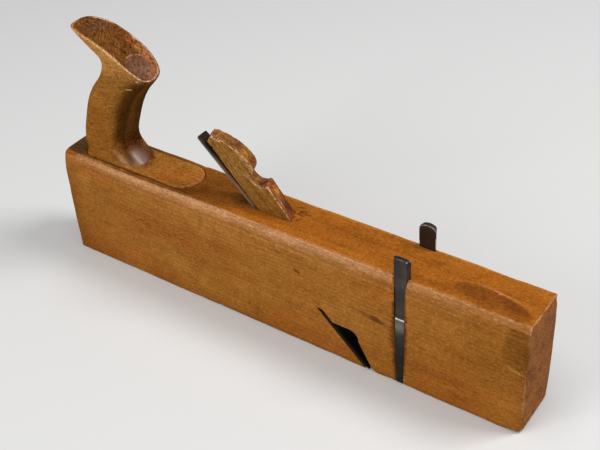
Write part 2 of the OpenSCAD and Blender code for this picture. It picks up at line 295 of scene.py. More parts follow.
def broken_edge_group() -> None:
    """Builds the group that breaks a soft mask up along the fibres, as wear and dirt do."""
    tree, given, result = start_group(
        "broken edge", "ShaderNodeTree",
        [Plug("Place", "Vector"), Plug("Mask"), Plug("Raggedness", value=0.5), Plug("Softness", value=0.5),
         Plug("Strength", value=1.0)],
        [Plug("Mask")],
    )
    streaks = tree.noise(given["Place"], (150.0, 650.0, 650.0), 4.0, 0.65)
    shift = tree.product(tree.math("SUBTRACT", streaks, 0.5), given["Raggedness"], 2.0)
    reach = tree.product(given["Softness"], 0.5)
    ragged = tree.ramp(tree.math("ADD", given["Mask"], shift), tree.math("SUBTRACT", 0.5, reach),
                       tree.math("ADD", 0.5, reach))
    inside = tree.ramp(given["Mask"], 0.0, 0.12)
    tree.feed(result["Mask"], tree.product(ragged, inside, given["Strength"]))


@dataclass(frozen=True)
class Mark:
    """A stain, streak, worn patch or bruise at one place on a piece, or a patch of painted shade or painted
    highlight.

    Attributes:
        centre_mm: its middle.
        reach_mm: half its size along X, Y and Z.
        tone: its colour.
        strength: its share of the surface's colour.
        softness: how much of its reach its edge fades over.
        turn_deg: its turn about X, Y and Z.
        ragged: how much its edge wanders.
        fade: how much of it is lost towards the low end of its turned Y.
        spread: how it fills its reach.
    """

    centre_mm: tuple[float, float, float]
    reach_mm: tuple[float, float, float]
    tone: Colour
    strength: float = 0.7
    softness: float = 0.6
    turn_deg: tuple[float, float, float] = (0.0, 0.0, 0.0)
    ragged: float = 0.5
    fade: float = 0.0
    spread: Spread = Spread.ROUND

    def mask(self, tree: Tree, place: Socket) -> Socket:
        """Builds the mark's mask.

        Args:
            tree: the material's tree.
            place: object coordinates.

        Returns:
            The mark's share, 0 to its strength.
        """
        inward = tree.add("ShaderNodeMapping", vector_type="TEXTURE")
        tree.feed(inward.inputs["Vector"], place)
        inward.inputs["Location"].default_value = [c * MM for c in self.centre_mm]
        inward.inputs["Rotation"].default_value = [math.radians(a) for a in self.turn_deg]
        inward.inputs["Scale"].default_value = [r * MM for r in self.reach_mm]
        spot = inward.outputs[0]
        if self.spread is Spread.SQUARE:
            far = tree.math("SQRT", tree.vector("LENGTH", tree.vector("MULTIPLY", spot, spot)))
        else:
            far = tree.vector("LENGTH", spot)
        wander = tree.noise(place, (160.0, 420.0, 420.0), 3.0, 0.6)
        far = tree.math("ADD", far, tree.math("MULTIPLY_ADD", wander, self.ragged, -0.5 * self.ragged))
        mask = tree.ramp(far, 1.0 - self.softness, 1.0, self.strength, 0.0)
        if self.fade:
            mask = tree.product(mask, tree.ramp(tree.split(spot)[1], -1.0, 0.6, 1.0 - self.fade, 1.0))
        return mask


@dataclass(frozen=True)
class Layer:
    """A tone that lies where a mask stored on the mesh asks for it."""

    mask: str
    tone: Colour
    strength: float = 1.0
    raggedness: float = 0.3
    softness: float = 0.5


@dataclass(frozen=True)
class Easing:
    """The worn band along the long top edges of the stock, its bright arrises and the painted shade inside its
    openings.

    Attributes:
        half: half the stock's length, its half width and its height.
        drop: how far the easing reaches down the side.
        inset: how far it moves in at the top.
        tone: the colour of the worn band.
        arris_tone: the colour of the rubbed arrises.
        arris_reach: how far the rubbed colour reaches from an arris.
        shade_free_depth: how deep the openings are before the painted shade sets in.
    """

    half: tuple[float, float, float]
    drop: float
    inset: float
    tone: Colour
    arris_tone: Colour
    arris_reach: float = 2.1 * MM
    shade_free_depth: float = 1.0 * MM

    def band(self, tree: Tree, place: Socket, facing: Socket) -> Socket:
        """Returns the share of the worn band along both long top edges."""
        x, _, z = tree.split(place)
        wander = tree.noise(place, (14.0, 60.0, 60.0), 3.0, 0.6)
        low = tree.math("MULTIPLY_ADD", wander, -0.3 * self.drop, self.half[2] - 0.92 * self.drop)
        band = tree.ramp(z, low, tree.math("ADD", low, 0.95 * self.drop))
        sideways = tree.ramp(tree.math("ABSOLUTE", tree.split(facing)[1]), 0.75, 0.9)
        heel = tree.ramp(x, -self.half[0], -0.65 * self.half[0], 0.4, 1.0)
        toe = tree.ramp(x, 0.0, 0.9 * self.half[0], 0.95, 0.4)
        return tree.product(band, sideways, heel, toe)

    def arrises(self, tree: Tree, place: Socket) -> Socket:
        """Returns the share of rubbed wood along the outer arrises of the block, except at the sole."""
        x, y, z = tree.split(place)
        height = self.half[2]
        lift = tree.math("MAXIMUM", tree.math("SUBTRACT", z, height - self.drop), 0.0)
        eased = tree.product(tree.math("POWER", tree.math("DIVIDE", lift, self.drop), 2.0), self.inset)
        gaps = (
            tree.math("SUBTRACT", self.half[0], tree.math("ABSOLUTE", x)),
            tree.math("SUBTRACT", tree.math("SUBTRACT", self.half[1], eased), tree.math("ABSOLUTE", y)),
            tree.math("SUBTRACT", 0.5 * height, tree.math("ABSOLUTE", tree.math("SUBTRACT", z, 0.5 * height))),
        )
        close = [tree.ramp(gap, 0.0, self.arris_reach, 1.0, 0.0) for gap in gaps]
        pairs = [tree.product(close[a], close[b]) for a, b in ((0, 1), (1, 2), (2, 0))]
        total = tree.math("ADD", pairs[0], tree.math("ADD", pairs[1], pairs[2]))
        return tree.product(tree.math("MINIMUM", total, 1.0), tree.ramp(z, 0.02 * height, 0.08 * height))

    def inside(self, tree: Tree, place: Socket) -> Socket:
        """Returns 1 in the bed, the throat, the mortise and the grooves, and 0 on the block's outside: where shade
        is painted in.
        """
        x, y, z = tree.split(place)
        depth = 3.2 * self.shade_free_depth
        lift = tree.ramp(z, self.half[2] - self.drop, self.half[2], 0.0, self.inset)
        far = (
            tree.math("ADD", tree.math("ABSOLUTE", y), lift), tree.math("ABSOLUTE", x),
            tree.math("ABSOLUTE", tree.math("SUBTRACT", z, 0.5 * self.half[2])),
        )
        limits = (self.half[1], self.half[0], 0.5 * self.half[2])
        return tree.product(*(tree.ramp(a, b - depth, b - self.shade_free_depth, 1.0, 0.0)
                              for a, b in zip(far, limits)))


@dataclass(frozen=True)
class BeechFinish:
    """Old beech: the colours, grain, wear and sheen of one board.

    Attributes:
        name: the material's name.
        pale: the wood where it is lightest.
        reddish: the wood where the finish lies thicker.
        end: the end grain.
        painted_opening_shade: the painted shade inside the openings.
        turn_deg: the turn about Y that lays the grain along X.
        shine: the mask stored on the mesh where the old polish still shines.
        pith: the middle of the growth rings, in the turned frame.
        ring_gap: the distance from ring to ring.
        fleck_share: the share of the ray cells that show.
        contrast: the strength of the grain.
        lines: the strength of the long fibre lines.
        scored: the mask stored on the mesh where tool marks cross the grain.
        score: the strength of the tool marks.
        end_from: how squarely a face must cut the grain to look like end grain.
        roughness: the surface's roughness.
        gloss: the strength of its reflections.
        coat: the weight of the old polish.
        relief: the depth of the pores.
        marks: marks of use, painted shade and painted highlights at fixed places.
        layers: tones at the masks stored on the mesh.
        easing: the stock's worn band and arrises.
    """

    name: str
    pale: Colour
    reddish: Colour
    end: Colour
    painted_opening_shade: Colour = (0.02, 0.007, 0.002)
    turn_deg: float = 0.0
    shine: str = ""
    pith: tuple[float, float, float] = (0.0, 0.03, -0.06)
    ring_gap: float = 3.2 * MM
    fleck_share: float = 0.45
    contrast: float = 1.0
    lines: float = 0.2
    scored: str = ""
    score: float = 1.0
    end_from: float = 0.6
    roughness: float = 0.46
    gloss: float = 0.16
    coat: float = 0.0
    relief: float = 0.12 * MM
    marks: tuple[Mark, ...] = ()
    layers: tuple[Layer, ...] = ()
    easing: Easing | None = None

    def make(self) -> bpy.types.Material:
        """Builds the material in object coordinates.

        Returns:
            The material.
        """
        material = bpy.data.materials.new(self.name)
        material.use_nodes = True
        tree = Tree(material.node_tree)
        shader = material.node_tree.nodes["Principled BSDF"]
        coords = tree.add("ShaderNodeTexCoord")
        place, facing = coords.outputs["Object"], coords.outputs["Normal"]
        along, cut = (self.turned(tree, vector) for vector in (place, facing))
        ends = tree.ramp(tree.math("ABSOLUTE", tree.split(cut)[0]), self.end_from, self.end_from + 0.25)
        contrast = tree.math("MULTIPLY_ADD", ends, 0.9 * self.contrast, self.contrast)
        grain = tree.group("beech grain", Place=along, Pith=self.pith, Ring_Gap=self.ring_gap,
                           Fleck_Share=self.fleck_share, Contrast=contrast, Lines=self.lines)
        if self.shine:
            dulled = tree.math("MULTIPLY_ADD", self.stored(tree, self.shine), -0.7, 1.0)
            tree.feed(grain.inputs["Contrast"], tree.product(contrast, dulled))
        if self.scored:
            tree.feed(grain.inputs["Tool Marks"], tree.product(self.stored(tree, self.scored), self.score))
        patches, blotches, specks = tree.group("handling", Place=place, Patch_Size=45 * MM).outputs

        colour = tree.mix(tree.ramp(patches, 0.36, 0.66), self.pale, self.reddish)
        colour = tree.mix(ends, colour, self.end)
        if self.easing:
            band = tree.group("broken edge", Place=place, Mask=self.easing.band(tree, place, facing),
                              Raggedness=0.3, Softness=1.0, Strength=0.95)
            colour = tree.mix(band.outputs["Mask"], colour, self.easing.tone)
            rubbed = tree.group("broken edge", Place=place, Mask=self.easing.arrises(tree, place),
                                Raggedness=0.6, Softness=0.6, Strength=0.65)
            colour = tree.mix(rubbed.outputs["Mask"], colour, self.easing.arris_tone)
        for layer in self.layers:
            laid = tree.group("broken edge", Place=along, Mask=self.stored(tree, layer.mask),
                              Raggedness=layer.raggedness, Softness=layer.softness, Strength=layer.strength)
            colour = tree.mix(laid.outputs["Mask"], colour, layer.tone)
        for mark in self.marks:
            colour = tree.mix(mark.mask(tree, place), colour, mark.tone)
        colour = tree.vector("MULTIPLY", colour, grain.outputs["Tint"])
        dirt = tree.math("MAXIMUM", tree.ramp(blotches, 0.56, 0.8, 0.0, 0.25), tree.product(specks, 0.5))
        colour = tree.scaled(colour, tree.math("SUBTRACT", 1.0, dirt))
        if self.easing:
            # Painted shade: the bed, throat, mortise and grooves are darkened nearly to black.
            colour = tree.mix(tree.product(self.easing.inside(tree, place), 0.9), colour, self.painted_opening_shade)
        tree.feed(shader.inputs["Base Color"], colour)
        rough = tree.math("MULTIPLY_ADD", blotches, 0.24, self.roughness - 0.12)
        tree.feed(shader.inputs["Roughness"], tree.math("MULTIPLY_ADD", ends, 0.12, rough))
        if self.shine:
            tree.feed(shader.inputs["Coat Weight"], tree.product(self.stored(tree, self.shine), self.coat))
        shader.inputs["Coat Roughness"].default_value = 0.36
        shader.inputs["Specular IOR Level"].default_value = self.gloss
        bump = tree.add("ShaderNodeBump")
        bump.inputs["Strength"].default_value = 0.6
        bump.inputs["Distance"].default_value = self.relief
        tree.feed(bump.inputs["Height"], grain.outputs["Relief"])
        tree.feed(shader.inputs["Normal"], bump.outputs["Normal"])
        return material

    def stored(self, tree: Tree, mask: str) -> Socket:
        """Returns a mask that is stored on the mesh."""
        return tree.add("ShaderNodeAttribute", attribute_type="GEOMETRY", attribute_name=mask).outputs["Fac"]

    def turned(self, tree: Tree, vector: Socket) -> Socket:
        """Returns a vector turned so that the grain runs along X."""
        node = tree.add("ShaderNodeMapping", vector_type="POINT")
        tree.feed(node.inputs["Vector"], vector)
        node.inputs["Rotation"].default_value = (0.0, math.radians(self.turn_deg), 0.0)
        return node.outputs[0]


@dataclass(frozen=True)
class SteelFinish:
    """Old forged steel under a dark patina, with rust in its pits and rubbed edges.

    Attributes:
        name: the material's name.
        dark: the patina.
        rubbed: the thin places of the patina.
        rust: the pits.
        bright: the bare metal of the edges, also the tone of the painted highlights that the edge mask carries.
        roughness: the surface's roughness.
        metallic: how metallic the patina is.
        gloss: the strength of its reflections where it is rusty.
        marks: dark and worn places, painted shade and painted highlights.
    """

    name: str
    dark: Colour
    rubbed: Colour
    rust: Colour
    bright: Colour = (0.5, 0.46, 0.41)
    roughness: float = 0.5
    metallic: float = 0.75
    gloss: float = 0.2
    marks: tuple[Mark, ...] = ()

    def make(self) -> bpy.types.Material:
        """Builds the material in object coordinates.

        Returns:
            The material.
        """
        material = bpy.data.materials.new(self.name)
        material.use_nodes = True
        tree = Tree(material.node_tree)
        shader = material.node_tree.nodes["Principled BSDF"]
        place = tree.add("ShaderNodeTexCoord").outputs["Object"]
        handled = tree.group("handling", Place=place, Patch_Size=14 * MM, Speck_Size=0.8 * MM)
        patches, blotches, specks = handled.outputs
        stored = tree.add("ShaderNodeAttribute", attribute_type="GEOMETRY", attribute_name="edge")
        edge = tree.group("broken edge", Place=place, Mask=stored.outputs["Fac"], Raggedness=0.6,
                          Softness=0.5, Strength=0.85).outputs["Mask"]
        colour = tree.mix(tree.ramp(patches, 0.4, 0.75, 0.0, 0.5), self.dark, self.rubbed)
        colour = tree.mix(tree.ramp(blotches, 0.5, 0.75, 0.0, 0.7), colour, self.rust)
        for mark in self.marks:
            colour = tree.mix(mark.mask(tree, place), colour, mark.tone)
        colour = tree.mix(tree.product(specks, 0.7), colour, tuple(0.4 * c for c in self.rust))
        colour = tree.mix(edge, colour, self.bright)
        tree.feed(shader.inputs["Base Color"], colour)
        rough = tree.math("MULTIPLY_ADD", blotches, 0.35, self.roughness - 0.15)
        tree.feed(shader.inputs["Roughness"], tree.math("MULTIPLY_ADD", edge, -0.12, rough))
        tree.feed(shader.inputs["Metallic"], tree.ramp(blotches, 0.45, 0.75, self.metallic, 0.25))
        shader.inputs["Specular IOR Level"].default_value = self.gloss
        bump = tree.add("ShaderNodeBump")
        bump.inputs["Strength"].default_value = 0.5
        bump.inputs["Distance"].default_value = 0.15 * MM
        tree.feed(bump.inputs["Height"], tree.math("SUBTRACT", blotches, specks))
        tree.feed(shader.inputs["Normal"], bump.outputs["Normal"])
        return material


def soft_step(values: np.ndarray, low: float, high: float) -> np.ndarray:
    """Returns 0 where values are below low, 1 above high, and a soft step between them."""
    share = np.clip((values - low) / (high - low), 0.0, 1.0)
    return share * share * (3.0 - 2.0 * share)


def merged_copy(node: str) -> bpy.types.Mesh:
    """Copies a CAD node's mesh, joins its loose triangles and makes its flat faces one.

    Args:
        node: the CAD node.

    Returns:
        The new mesh, closed, in the plane's frame.
    """
    form = bmesh.new()
    form.from_mesh(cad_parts[node].data)
    bmesh.ops.remove_doubles(form, verts=form.verts, dist=0.001 * MM)
    bmesh.ops.dissolve_limit(form, verts=form.verts, edges=form.edges, angle_limit=math.radians(0.05))
    mesh = bpy.data.meshes.new(f"{node}_copy")
    form.to_mesh(mesh)
    form.free()
    return mesh


def plain_mesh(mesh: bpy.types.Mesh, name: str, *steps: tuple[str, dict[str, Any]]) -> bpy.types.Mesh:
    """Runs modifiers over a mesh and returns their result as a mesh of its own.

    Args:
        mesh: the mesh to start from.
        name: the new mesh's name.
        steps: each modifier's type with its settings, in order.

    Returns:
        The new mesh.
    """
    holder = bpy.data.objects.new("holder", mesh)
    bpy.context.scene.collection.objects.link(holder)
    for kind, settings in steps:
        modifier = holder.modifiers.new(kind, kind)
        for key, value in settings.items():
            setattr(modifier, key, value)
    seen = holder.evaluated_get(bpy.context.evaluated_depsgraph_get())
    result = bpy.data.meshes.new_from_object(seen)
    result.name = name
    bpy.data.objects.remove(holder)
    return result


@dataclass
class Worn:
    """A dense mesh that is worn inwards from a CAD node's shape, held as arrays while it is worked.

    Attributes:
        node: the CAD node that it starts from.
        grid: the spacing of its points.
        tilt_deg: the turn about Y that lays the node's long side along the grid.
        rounding: how many times its points are averaged with their neighbours.
        skin: how far it stays inside the CAD node.
    """

    node: str
    grid: float
    tilt_deg: float = 0.0
    rounding: int = 6
    skin: float = 0.03 * MM

    def __post_init__(self) -> None:
        """Makes the mesh and reads its points."""
        source = merged_copy(self.node)
        self.limit = BVHTree.FromPolygons(
            [v.co.copy() for v in source.vertices], [tuple(p.vertices) for p in source.polygons])
        turn = Matrix.Rotation(math.radians(self.tilt_deg), 4, "Y")
        source.transform(turn)
        self.mesh = plain_mesh(source, self.node, ("REMESH", {
            "mode": "VOXEL", "voxel_size": self.grid, "use_smooth_shade": True}))
        self.mesh.transform(turn.inverted())
        self.places = np.empty(3 * len(self.mesh.vertices))
        self.mesh.vertices.foreach_get("co", self.places)
        self.places = self.places.reshape(-1, 3)
        self.pairs = np.empty(2 * len(self.mesh.edges), dtype=np.int32)
        self.mesh.edges.foreach_get("vertices", self.pairs)
        self.pairs = self.pairs.reshape(-1, 2)
        self.near = np.bincount(self.pairs.ravel(), minlength=len(self.places))
        for _ in range(self.rounding):
            self.places += 0.5 * (self.average(self.places) - self.places)

    def average(self, values: np.ndarray) -> np.ndarray:
        """Averages values over each point's neighbours.

        Args:
            values: one row for each point.

        Returns:
            The averages, of the same shape.
        """
        flat = values.reshape(len(values), -1)
        first, second = self.pairs.T
        total = [
            np.bincount(first, column[second], len(flat)) + np.bincount(second, column[first], len(flat))
            for column in flat.T
        ]
        return (np.array(total) / self.near).T.reshape(values.shape)

    def spread(self, values: np.ndarray, rounds: int) -> np.ndarray:
        """Returns values averaged over their neighbours several times."""
        for _ in range(rounds):
            values = self.average(values)
        return values

    def normals(self) -> np.ndarray:
        """Returns each point's outward direction."""
        self.mesh.vertices.foreach_set("co", self.places.ravel())
        self.mesh.update()
        facing = np.empty(3 * len(self.places))
        self.mesh.vertex_normals.foreach_get("vector", facing)
        return facing.reshape(-1, 3)

    def convexity(self, rounds: int = 3) -> np.ndarray:
        """Measures how far each point stands out from its neighbours.

        Args:
            rounds: how many times the measure is averaged.

        Returns:
            About 0 on a flat place, near 1 on an outer edge, negative in a hollow.
        """
        stand = np.einsum("ij,ij->i", self.places - self.average(self.places), self.normals()) / self.grid
        return self.spread(stand, rounds) * 8.0

    def rough(self, wave: float, octaves: int = 3, shift: float = 0.0) -> np.ndarray:
        """Returns soft noise between about -1 and 1 at each point.

        Args:
            wave: its wavelength.
            octaves: how many finer layers it has.
            shift: an offset that gives another pattern.

        Returns:
            One number for each point.
        """
        away = Vector((shift, 2 * shift, -shift))
        return np.array([noise.fractal(Vector(p) / wave + away, 1.0, 2.0, octaves) for p in self.places])

    def wear(self, depth: np.ndarray) -> None:
        """Moves each point inwards along its normal by its own depth."""
        self.places -= self.normals() * depth[:, None]

    def finish(self, **masks: np.ndarray) -> bpy.types.Mesh:
        """Holds the points inside the CAD node and stores the masks that its material reads.

        Args:
            masks: each mask's name with its number at each point.

        Returns:
            The finished mesh.
        """
        for index, place in enumerate(self.places):
            spot, facing, _, _ = self.limit.find_nearest(Vector(place))
            over = (Vector(place) - spot).dot(facing) + self.skin
            if over > 0.0:
                self.places[index] = place - np.array(facing) * over
        self.normals()
        for name, values in masks.items():
            store = self.mesh.attributes.new(name, "FLOAT", "POINT")
            store.data.foreach_set("value", np.clip(values, 0.0, 1.0).astype(np.float32))
        return self.mesh


def show(node: str, mesh: bpy.types.Mesh, body: str, finish: BeechFinish | SteelFinish) -> None:
    """Shows a mesh in the place of a CAD node.

    Args:
        node: the CAD node that it replaces.
        mesh: the mesh, in the plane's frame.
        body: the body that it rides on.
        finish: its finish.
    """
    piece = bpy.data.objects.new(f"{node}_worn", mesh)
    bpy.context.scene.collection.objects.link(piece)
    mesh.materials.clear()
    mesh.materials.append(finish.make())
    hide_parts(node)
    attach(piece, body)
    log.info("%s: %d faces, %s", piece.name, len(mesh.polygons), finish.name)


@dataclass(frozen=True)
class Scoop:
    """A shallow hollow where wood is split or worn away: the part of an ellipsoid below the surface."""

    centre_mm: tuple[float, float, float]
    radii_mm: tuple[float, float, float]
    turn_deg: float = 0.0

    def add_to(self, form: bmesh.types.BMesh) -> None:
        """Adds the ellipsoid to a mesh of cutters."""
        place = Matrix.Translation(Vector(self.centre_mm) * MM)
        turn = Matrix.Rotation(math.radians(self.turn_deg), 4, "Z")
        size = Matrix.Diagonal((*(r * MM for r in self.radii_mm), 1.0))
        bmesh.ops.create_uvsphere(form, u_segments=48, v_segments=24, radius=1.0, matrix=place @ turn @ size)


@dataclass
class Stock:
    """The beech block: a worn blank by rule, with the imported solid's bed, throat, mortise and grooves."""

    body: str = "plane_body"
    slot: str = "beech_stock"
    arris: float = 0.7 * MM
    toe_round: float = 3.5 * MM
    heel_round: float = 4.0 * MM
    skin: float = 0.03 * MM
    ease_drop: float = 12 * MM
    ease_in: float = 2.2 * MM
    wear: float = 0.22 * MM
    chips: float = 0.55 * MM
    seed: float = 4.0
    points: tuple[int, int, int] = (165, 37, 57)
    mouth_bevel: float = 0.35 * MM
    scoops: tuple[Scoop, ...] = (
        Scoop((194.5, -21.3, 69.5), (22.0, 1.7, 23.0)),
        Scoop((158.5, -9.0, 98.4), (60.0, 19.0, 7.0), -6.0),
        Scoop((189.6, -2.4, 92.3), (3.0, 2.6, 1.5)),
        Scoop((190.8, 9.5, 92.3), (1.0, 2.0, 0.9)),
        Scoop((-190.9, -20.2, 58.0), (1.3, 1.2, 5.0)),
        Scoop((-150.0, -20.3, -0.2), (7.0, 1.0, 0.9)),
        Scoop((134.0, -20.3, -0.2), (5.0, 1.0, 1.0)),
    )

    def size(self) -> Vector:
        """Returns the block's length, width and height."""
        low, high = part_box("stock")
        return high - low

    def blank_tree(self) -> bpy.types.NodeTree:
        """Builds the rule of the blank: a rounded block with eased top edges, worn inwards.

        Returns:
            The geometry node tree.
        """
        tree, given, result = start_group(
            "worn block", "GeometryNodeTree",
            [Plug("Geometry", "Geometry"), Plug("Length"), Plug("Width"), Plug("Height"), Plug("Skin"),
             Plug("Arris"), Plug("Toe Round"), Plug("Heel Round"), Plug("Ease Drop"), Plug("Ease In"),
             Plug("Wear"), Plug("Chips"), Plug("Seed"),
             Plug("Wood", "Material")],
            [Plug("Geometry", "Geometry")],
        )
        cube = tree.add("GeometryNodeMeshCube")
        cube.inputs["Size"].default_value = (2.0, 2.0, 2.0)
        for name, count in zip(("Vertices X", "Vertices Y", "Vertices Z"), self.points):
            cube.inputs[name].default_value = count
        half = tree.join(*(tree.math("SUBTRACT", tree.product(given[n], 0.5), given["Skin"])
                           for n in ("Length", "Width", "Height")))
        crowded = tree.vector("SINE", tree.scaled(tree.add("GeometryNodeInputPosition").outputs[0], math.pi / 2))
        spot = tree.vector("MULTIPLY", crowded, half)
        at_x, _, at_z = tree.split(crowded)
        toe_low = tree.product(tree.ramp(at_x, 0.9, 1.0), tree.ramp(at_z, -1.0, -0.4, 1.0, 0.0))
        heel_high = tree.product(tree.ramp(at_x, -0.9, -1.0), tree.ramp(at_z, 1.0, 0.5, 1.0, 0.0))
        radius = tree.math("ADD", given["Arris"], tree.math(
            "ADD", tree.product(toe_low, given["Toe Round"]), tree.product(heel_high, given["Heel Round"])))
        core = tree.vector("SUBTRACT", half, tree.join(radius, radius, radius))
        held = tree.vector("MAXIMUM", tree.vector("MINIMUM", spot, core), tree.scaled(core, -1.0))
        rounded = tree.vector("ADD", held, tree.scaled(
            tree.vector("NORMALIZE", tree.vector("SUBTRACT", spot, held)), radius))
        x, y, z = tree.split(tree.vector("ADD", rounded, tree.join(0.0, 0.0, tree.product(given["Height"], 0.5))))
        squares = [tree.math("POWER", given[n], 2.0) for n in ("Ease Drop", "Ease In")]
        bow = tree.math("DIVIDE", tree.math("ADD", *squares), tree.product(given["Ease In"], 2.0))
        lift = tree.math("MAXIMUM", tree.math("SUBTRACT", z, tree.math("SUBTRACT", given["Height"],
                                                                       given["Ease Drop"])), 0.0)
        inset = tree.math("SUBTRACT", bow, tree.math("SQRT", tree.math(
            "SUBTRACT", tree.math("POWER", bow, 2.0), tree.math("POWER", lift, 2.0))))
        narrower = tree.math("SUBTRACT", 1.0, tree.math("DIVIDE", inset, tree.product(given["Width"], 0.5)))
        shape = tree.join(x, tree.product(y, narrower), z)

        reach = 5 * MM
        gaps = tree.split(tree.vector("SUBTRACT", half, tree.vector("ABSOLUTE", spot)))
        close = [tree.ramp(gap, 0.0, reach, 1.0, 0.0) for gap in gaps]
        pairs = [tree.product(close[a], close[b]) for a, b in ((0, 1), (1, 2), (2, 0))]
        edge = tree.math("MINIMUM", tree.math("ADD", pairs[0], tree.math("ADD", pairs[1], pairs[2])), 1.0)
        keep = tree.add("GeometryNodeStoreNamedAttribute", data_type="FLOAT", domain="POINT")
        keep.inputs["Name"].default_value = "near_edge"
        tree.feed(keep.inputs["Value"], edge)
        tree.feed(keep.inputs["Geometry"], cube.outputs["Mesh"])
        shaped = tree.add("GeometryNodeSetPosition")
        tree.feed(shaped.inputs["Geometry"], keep.outputs["Geometry"])
        tree.feed(shaped.inputs["Position"], shape)

        stored = tree.add("GeometryNodeInputNamedAttribute", data_type="FLOAT")
        stored.inputs["Name"].default_value = "near_edge"
        edge = stored.outputs["Attribute"]
        away = tree.join(given["Seed"], tree.product(given["Seed"], 0.37), 0.0)
        place = tree.vector("ADD", tree.add("GeometryNodeInputPosition").outputs[0], away)
        broad = tree.ramp(tree.noise(place, (11.0, 26.0, 26.0)), 0.3, 0.7)
        fine = tree.noise(place, (90.0, 240.0, 240.0))
        rubbed = tree.ramp(tree.noise(place, 42.0), 0.42, 0.72)
        cells = tree.add("ShaderNodeTexVoronoi", feature="F1")
        tree.feed(cells.inputs["Vector"], place)
        cells.inputs["Scale"].default_value = 62.0
        chosen = tree.math("GREATER_THAN", tree.split(cells.outputs["Color"])[0], 0.7)
        nick = tree.product(tree.ramp(cells.outputs["Distance"], 0.08, 0.24, 1.0, 0.0), chosen)
        face_part = tree.product(given["Wear"], tree.math("MULTIPLY_ADD", fine, 0.3, broad))
        edge_part = tree.product(edge, edge, tree.math(
            "ADD", tree.product(given["Wear"], rubbed, 1.6), tree.product(given["Chips"], nick)))
        normal = tree.add("GeometryNodeInputNormal").outputs[0]
        down = tree.ramp(tree.product(tree.split(normal)[2], -1.0), 0.6, 0.9, 1.0, 0.0)
        depth = tree.math("ADD", tree.product(face_part, down), edge_part)
        carved = tree.add("GeometryNodeSetPosition")
        tree.feed(carved.inputs["Geometry"], shaped.outputs["Geometry"])
        tree.feed(carved.inputs["Offset"], tree.scaled(normal, tree.product(depth, -1.0)))
        real = tree.add("GeometryNodeRealizeInstances")
        tree.feed(real.inputs["Geometry"], carved.outputs["Geometry"])
        dressed = tree.add("GeometryNodeSetMaterial")
        tree.feed(dressed.inputs["Geometry"], real.outputs["Geometry"])
        tree.feed(dressed.inputs["Material"], given["Wood"])
        tree.feed(result["Geometry"], dressed.outputs["Geometry"])
        return tree.tree

    def blank(self, wood: bpy.types.Material) -> bpy.types.Mesh:
        """Runs the rule of the blank.

        Args:
            wood: the material that the tree sets.

        Returns:
            The blank as a plain mesh.
        """
        group = self.blank_tree()
        size = self.size()
        holder = bpy.data.objects.new("blank", bpy.data.meshes.new("blank_seed"))
        bpy.context.scene.collection.objects.link(holder)
        modifier = holder.modifiers.new("worn block", "NODES")
        modifier.node_group = group
        values = {
            "Length": size.x, "Width": size.y, "Height": size.z, "Skin": self.skin, "Arris": self.arris,
            "Toe Round": self.toe_round, "Heel Round": self.heel_round,
            "Ease Drop": self.ease_drop, "Ease In": self.ease_in, "Wear": self.wear, "Chips": self.chips,
            "Seed": self.seed, "Wood": wood,
        }
        for item in group.interface.items_tree:
            if item.in_out == "INPUT" and item.name in values:
                modifier[item.identifier] = values[item.name]
        seen = holder.evaluated_get(bpy.context.evaluated_depsgraph_get())
        mesh = bpy.data.meshes.new_from_object(seen)
        holder.modifiers.clear()
        bpy.data.objects.remove(holder)
        return mesh

    def cutter(self, mesh: bpy.types.Mesh, name: str) -> bpy.types.Object:
        """Returns a passing object that holds a mesh for a boolean cut."""
        tool = bpy.data.objects.new(name, mesh)
        bpy.context.scene.collection.objects.link(tool)
        return tool

    def build(self, finish: BeechFinish) -> None:
        """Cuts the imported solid's openings and the scoops into the blank and shows the result.

        Args:
            finish: the block's finish.
        """
        form = bmesh.new()
        for scoop in self.scoops:
            scoop.add_to(form)
        scooped = bpy.data.meshes.new("scoops")
        form.to_mesh(scooped)
        form.free()
        solid = plain_mesh(merged_copy("stock"), "stock_eased", ("BEVEL", {
            "width": self.mouth_bevel, "segments": 2, "limit_method": "ANGLE",
            "angle_limit": math.radians(35.0), "use_clamp_overlap": False}))
        tools = [self.cutter(solid, "stock_solid"), self.cutter(scooped, "stock_scoops")]
        mesh = plain_mesh(
            self.blank(bpy.data.materials.new("blank_wood")), "stock",
            ("BOOLEAN", {"operation": "INTERSECT", "object": tools[0], "solver": "MANIFOLD"}),
            ("BOOLEAN", {"operation": "DIFFERENCE", "object": tools[1], "solver": "MANIFOLD"}))
        for tool in tools:
            bpy.data.objects.remove(tool)
        mesh.polygons.foreach_set("use_smooth", [True] * len(mesh.polygons))
        mesh.set_sharp_from_angle(angle=math.radians(32.0))
        show("stock", mesh, self.body, finish)


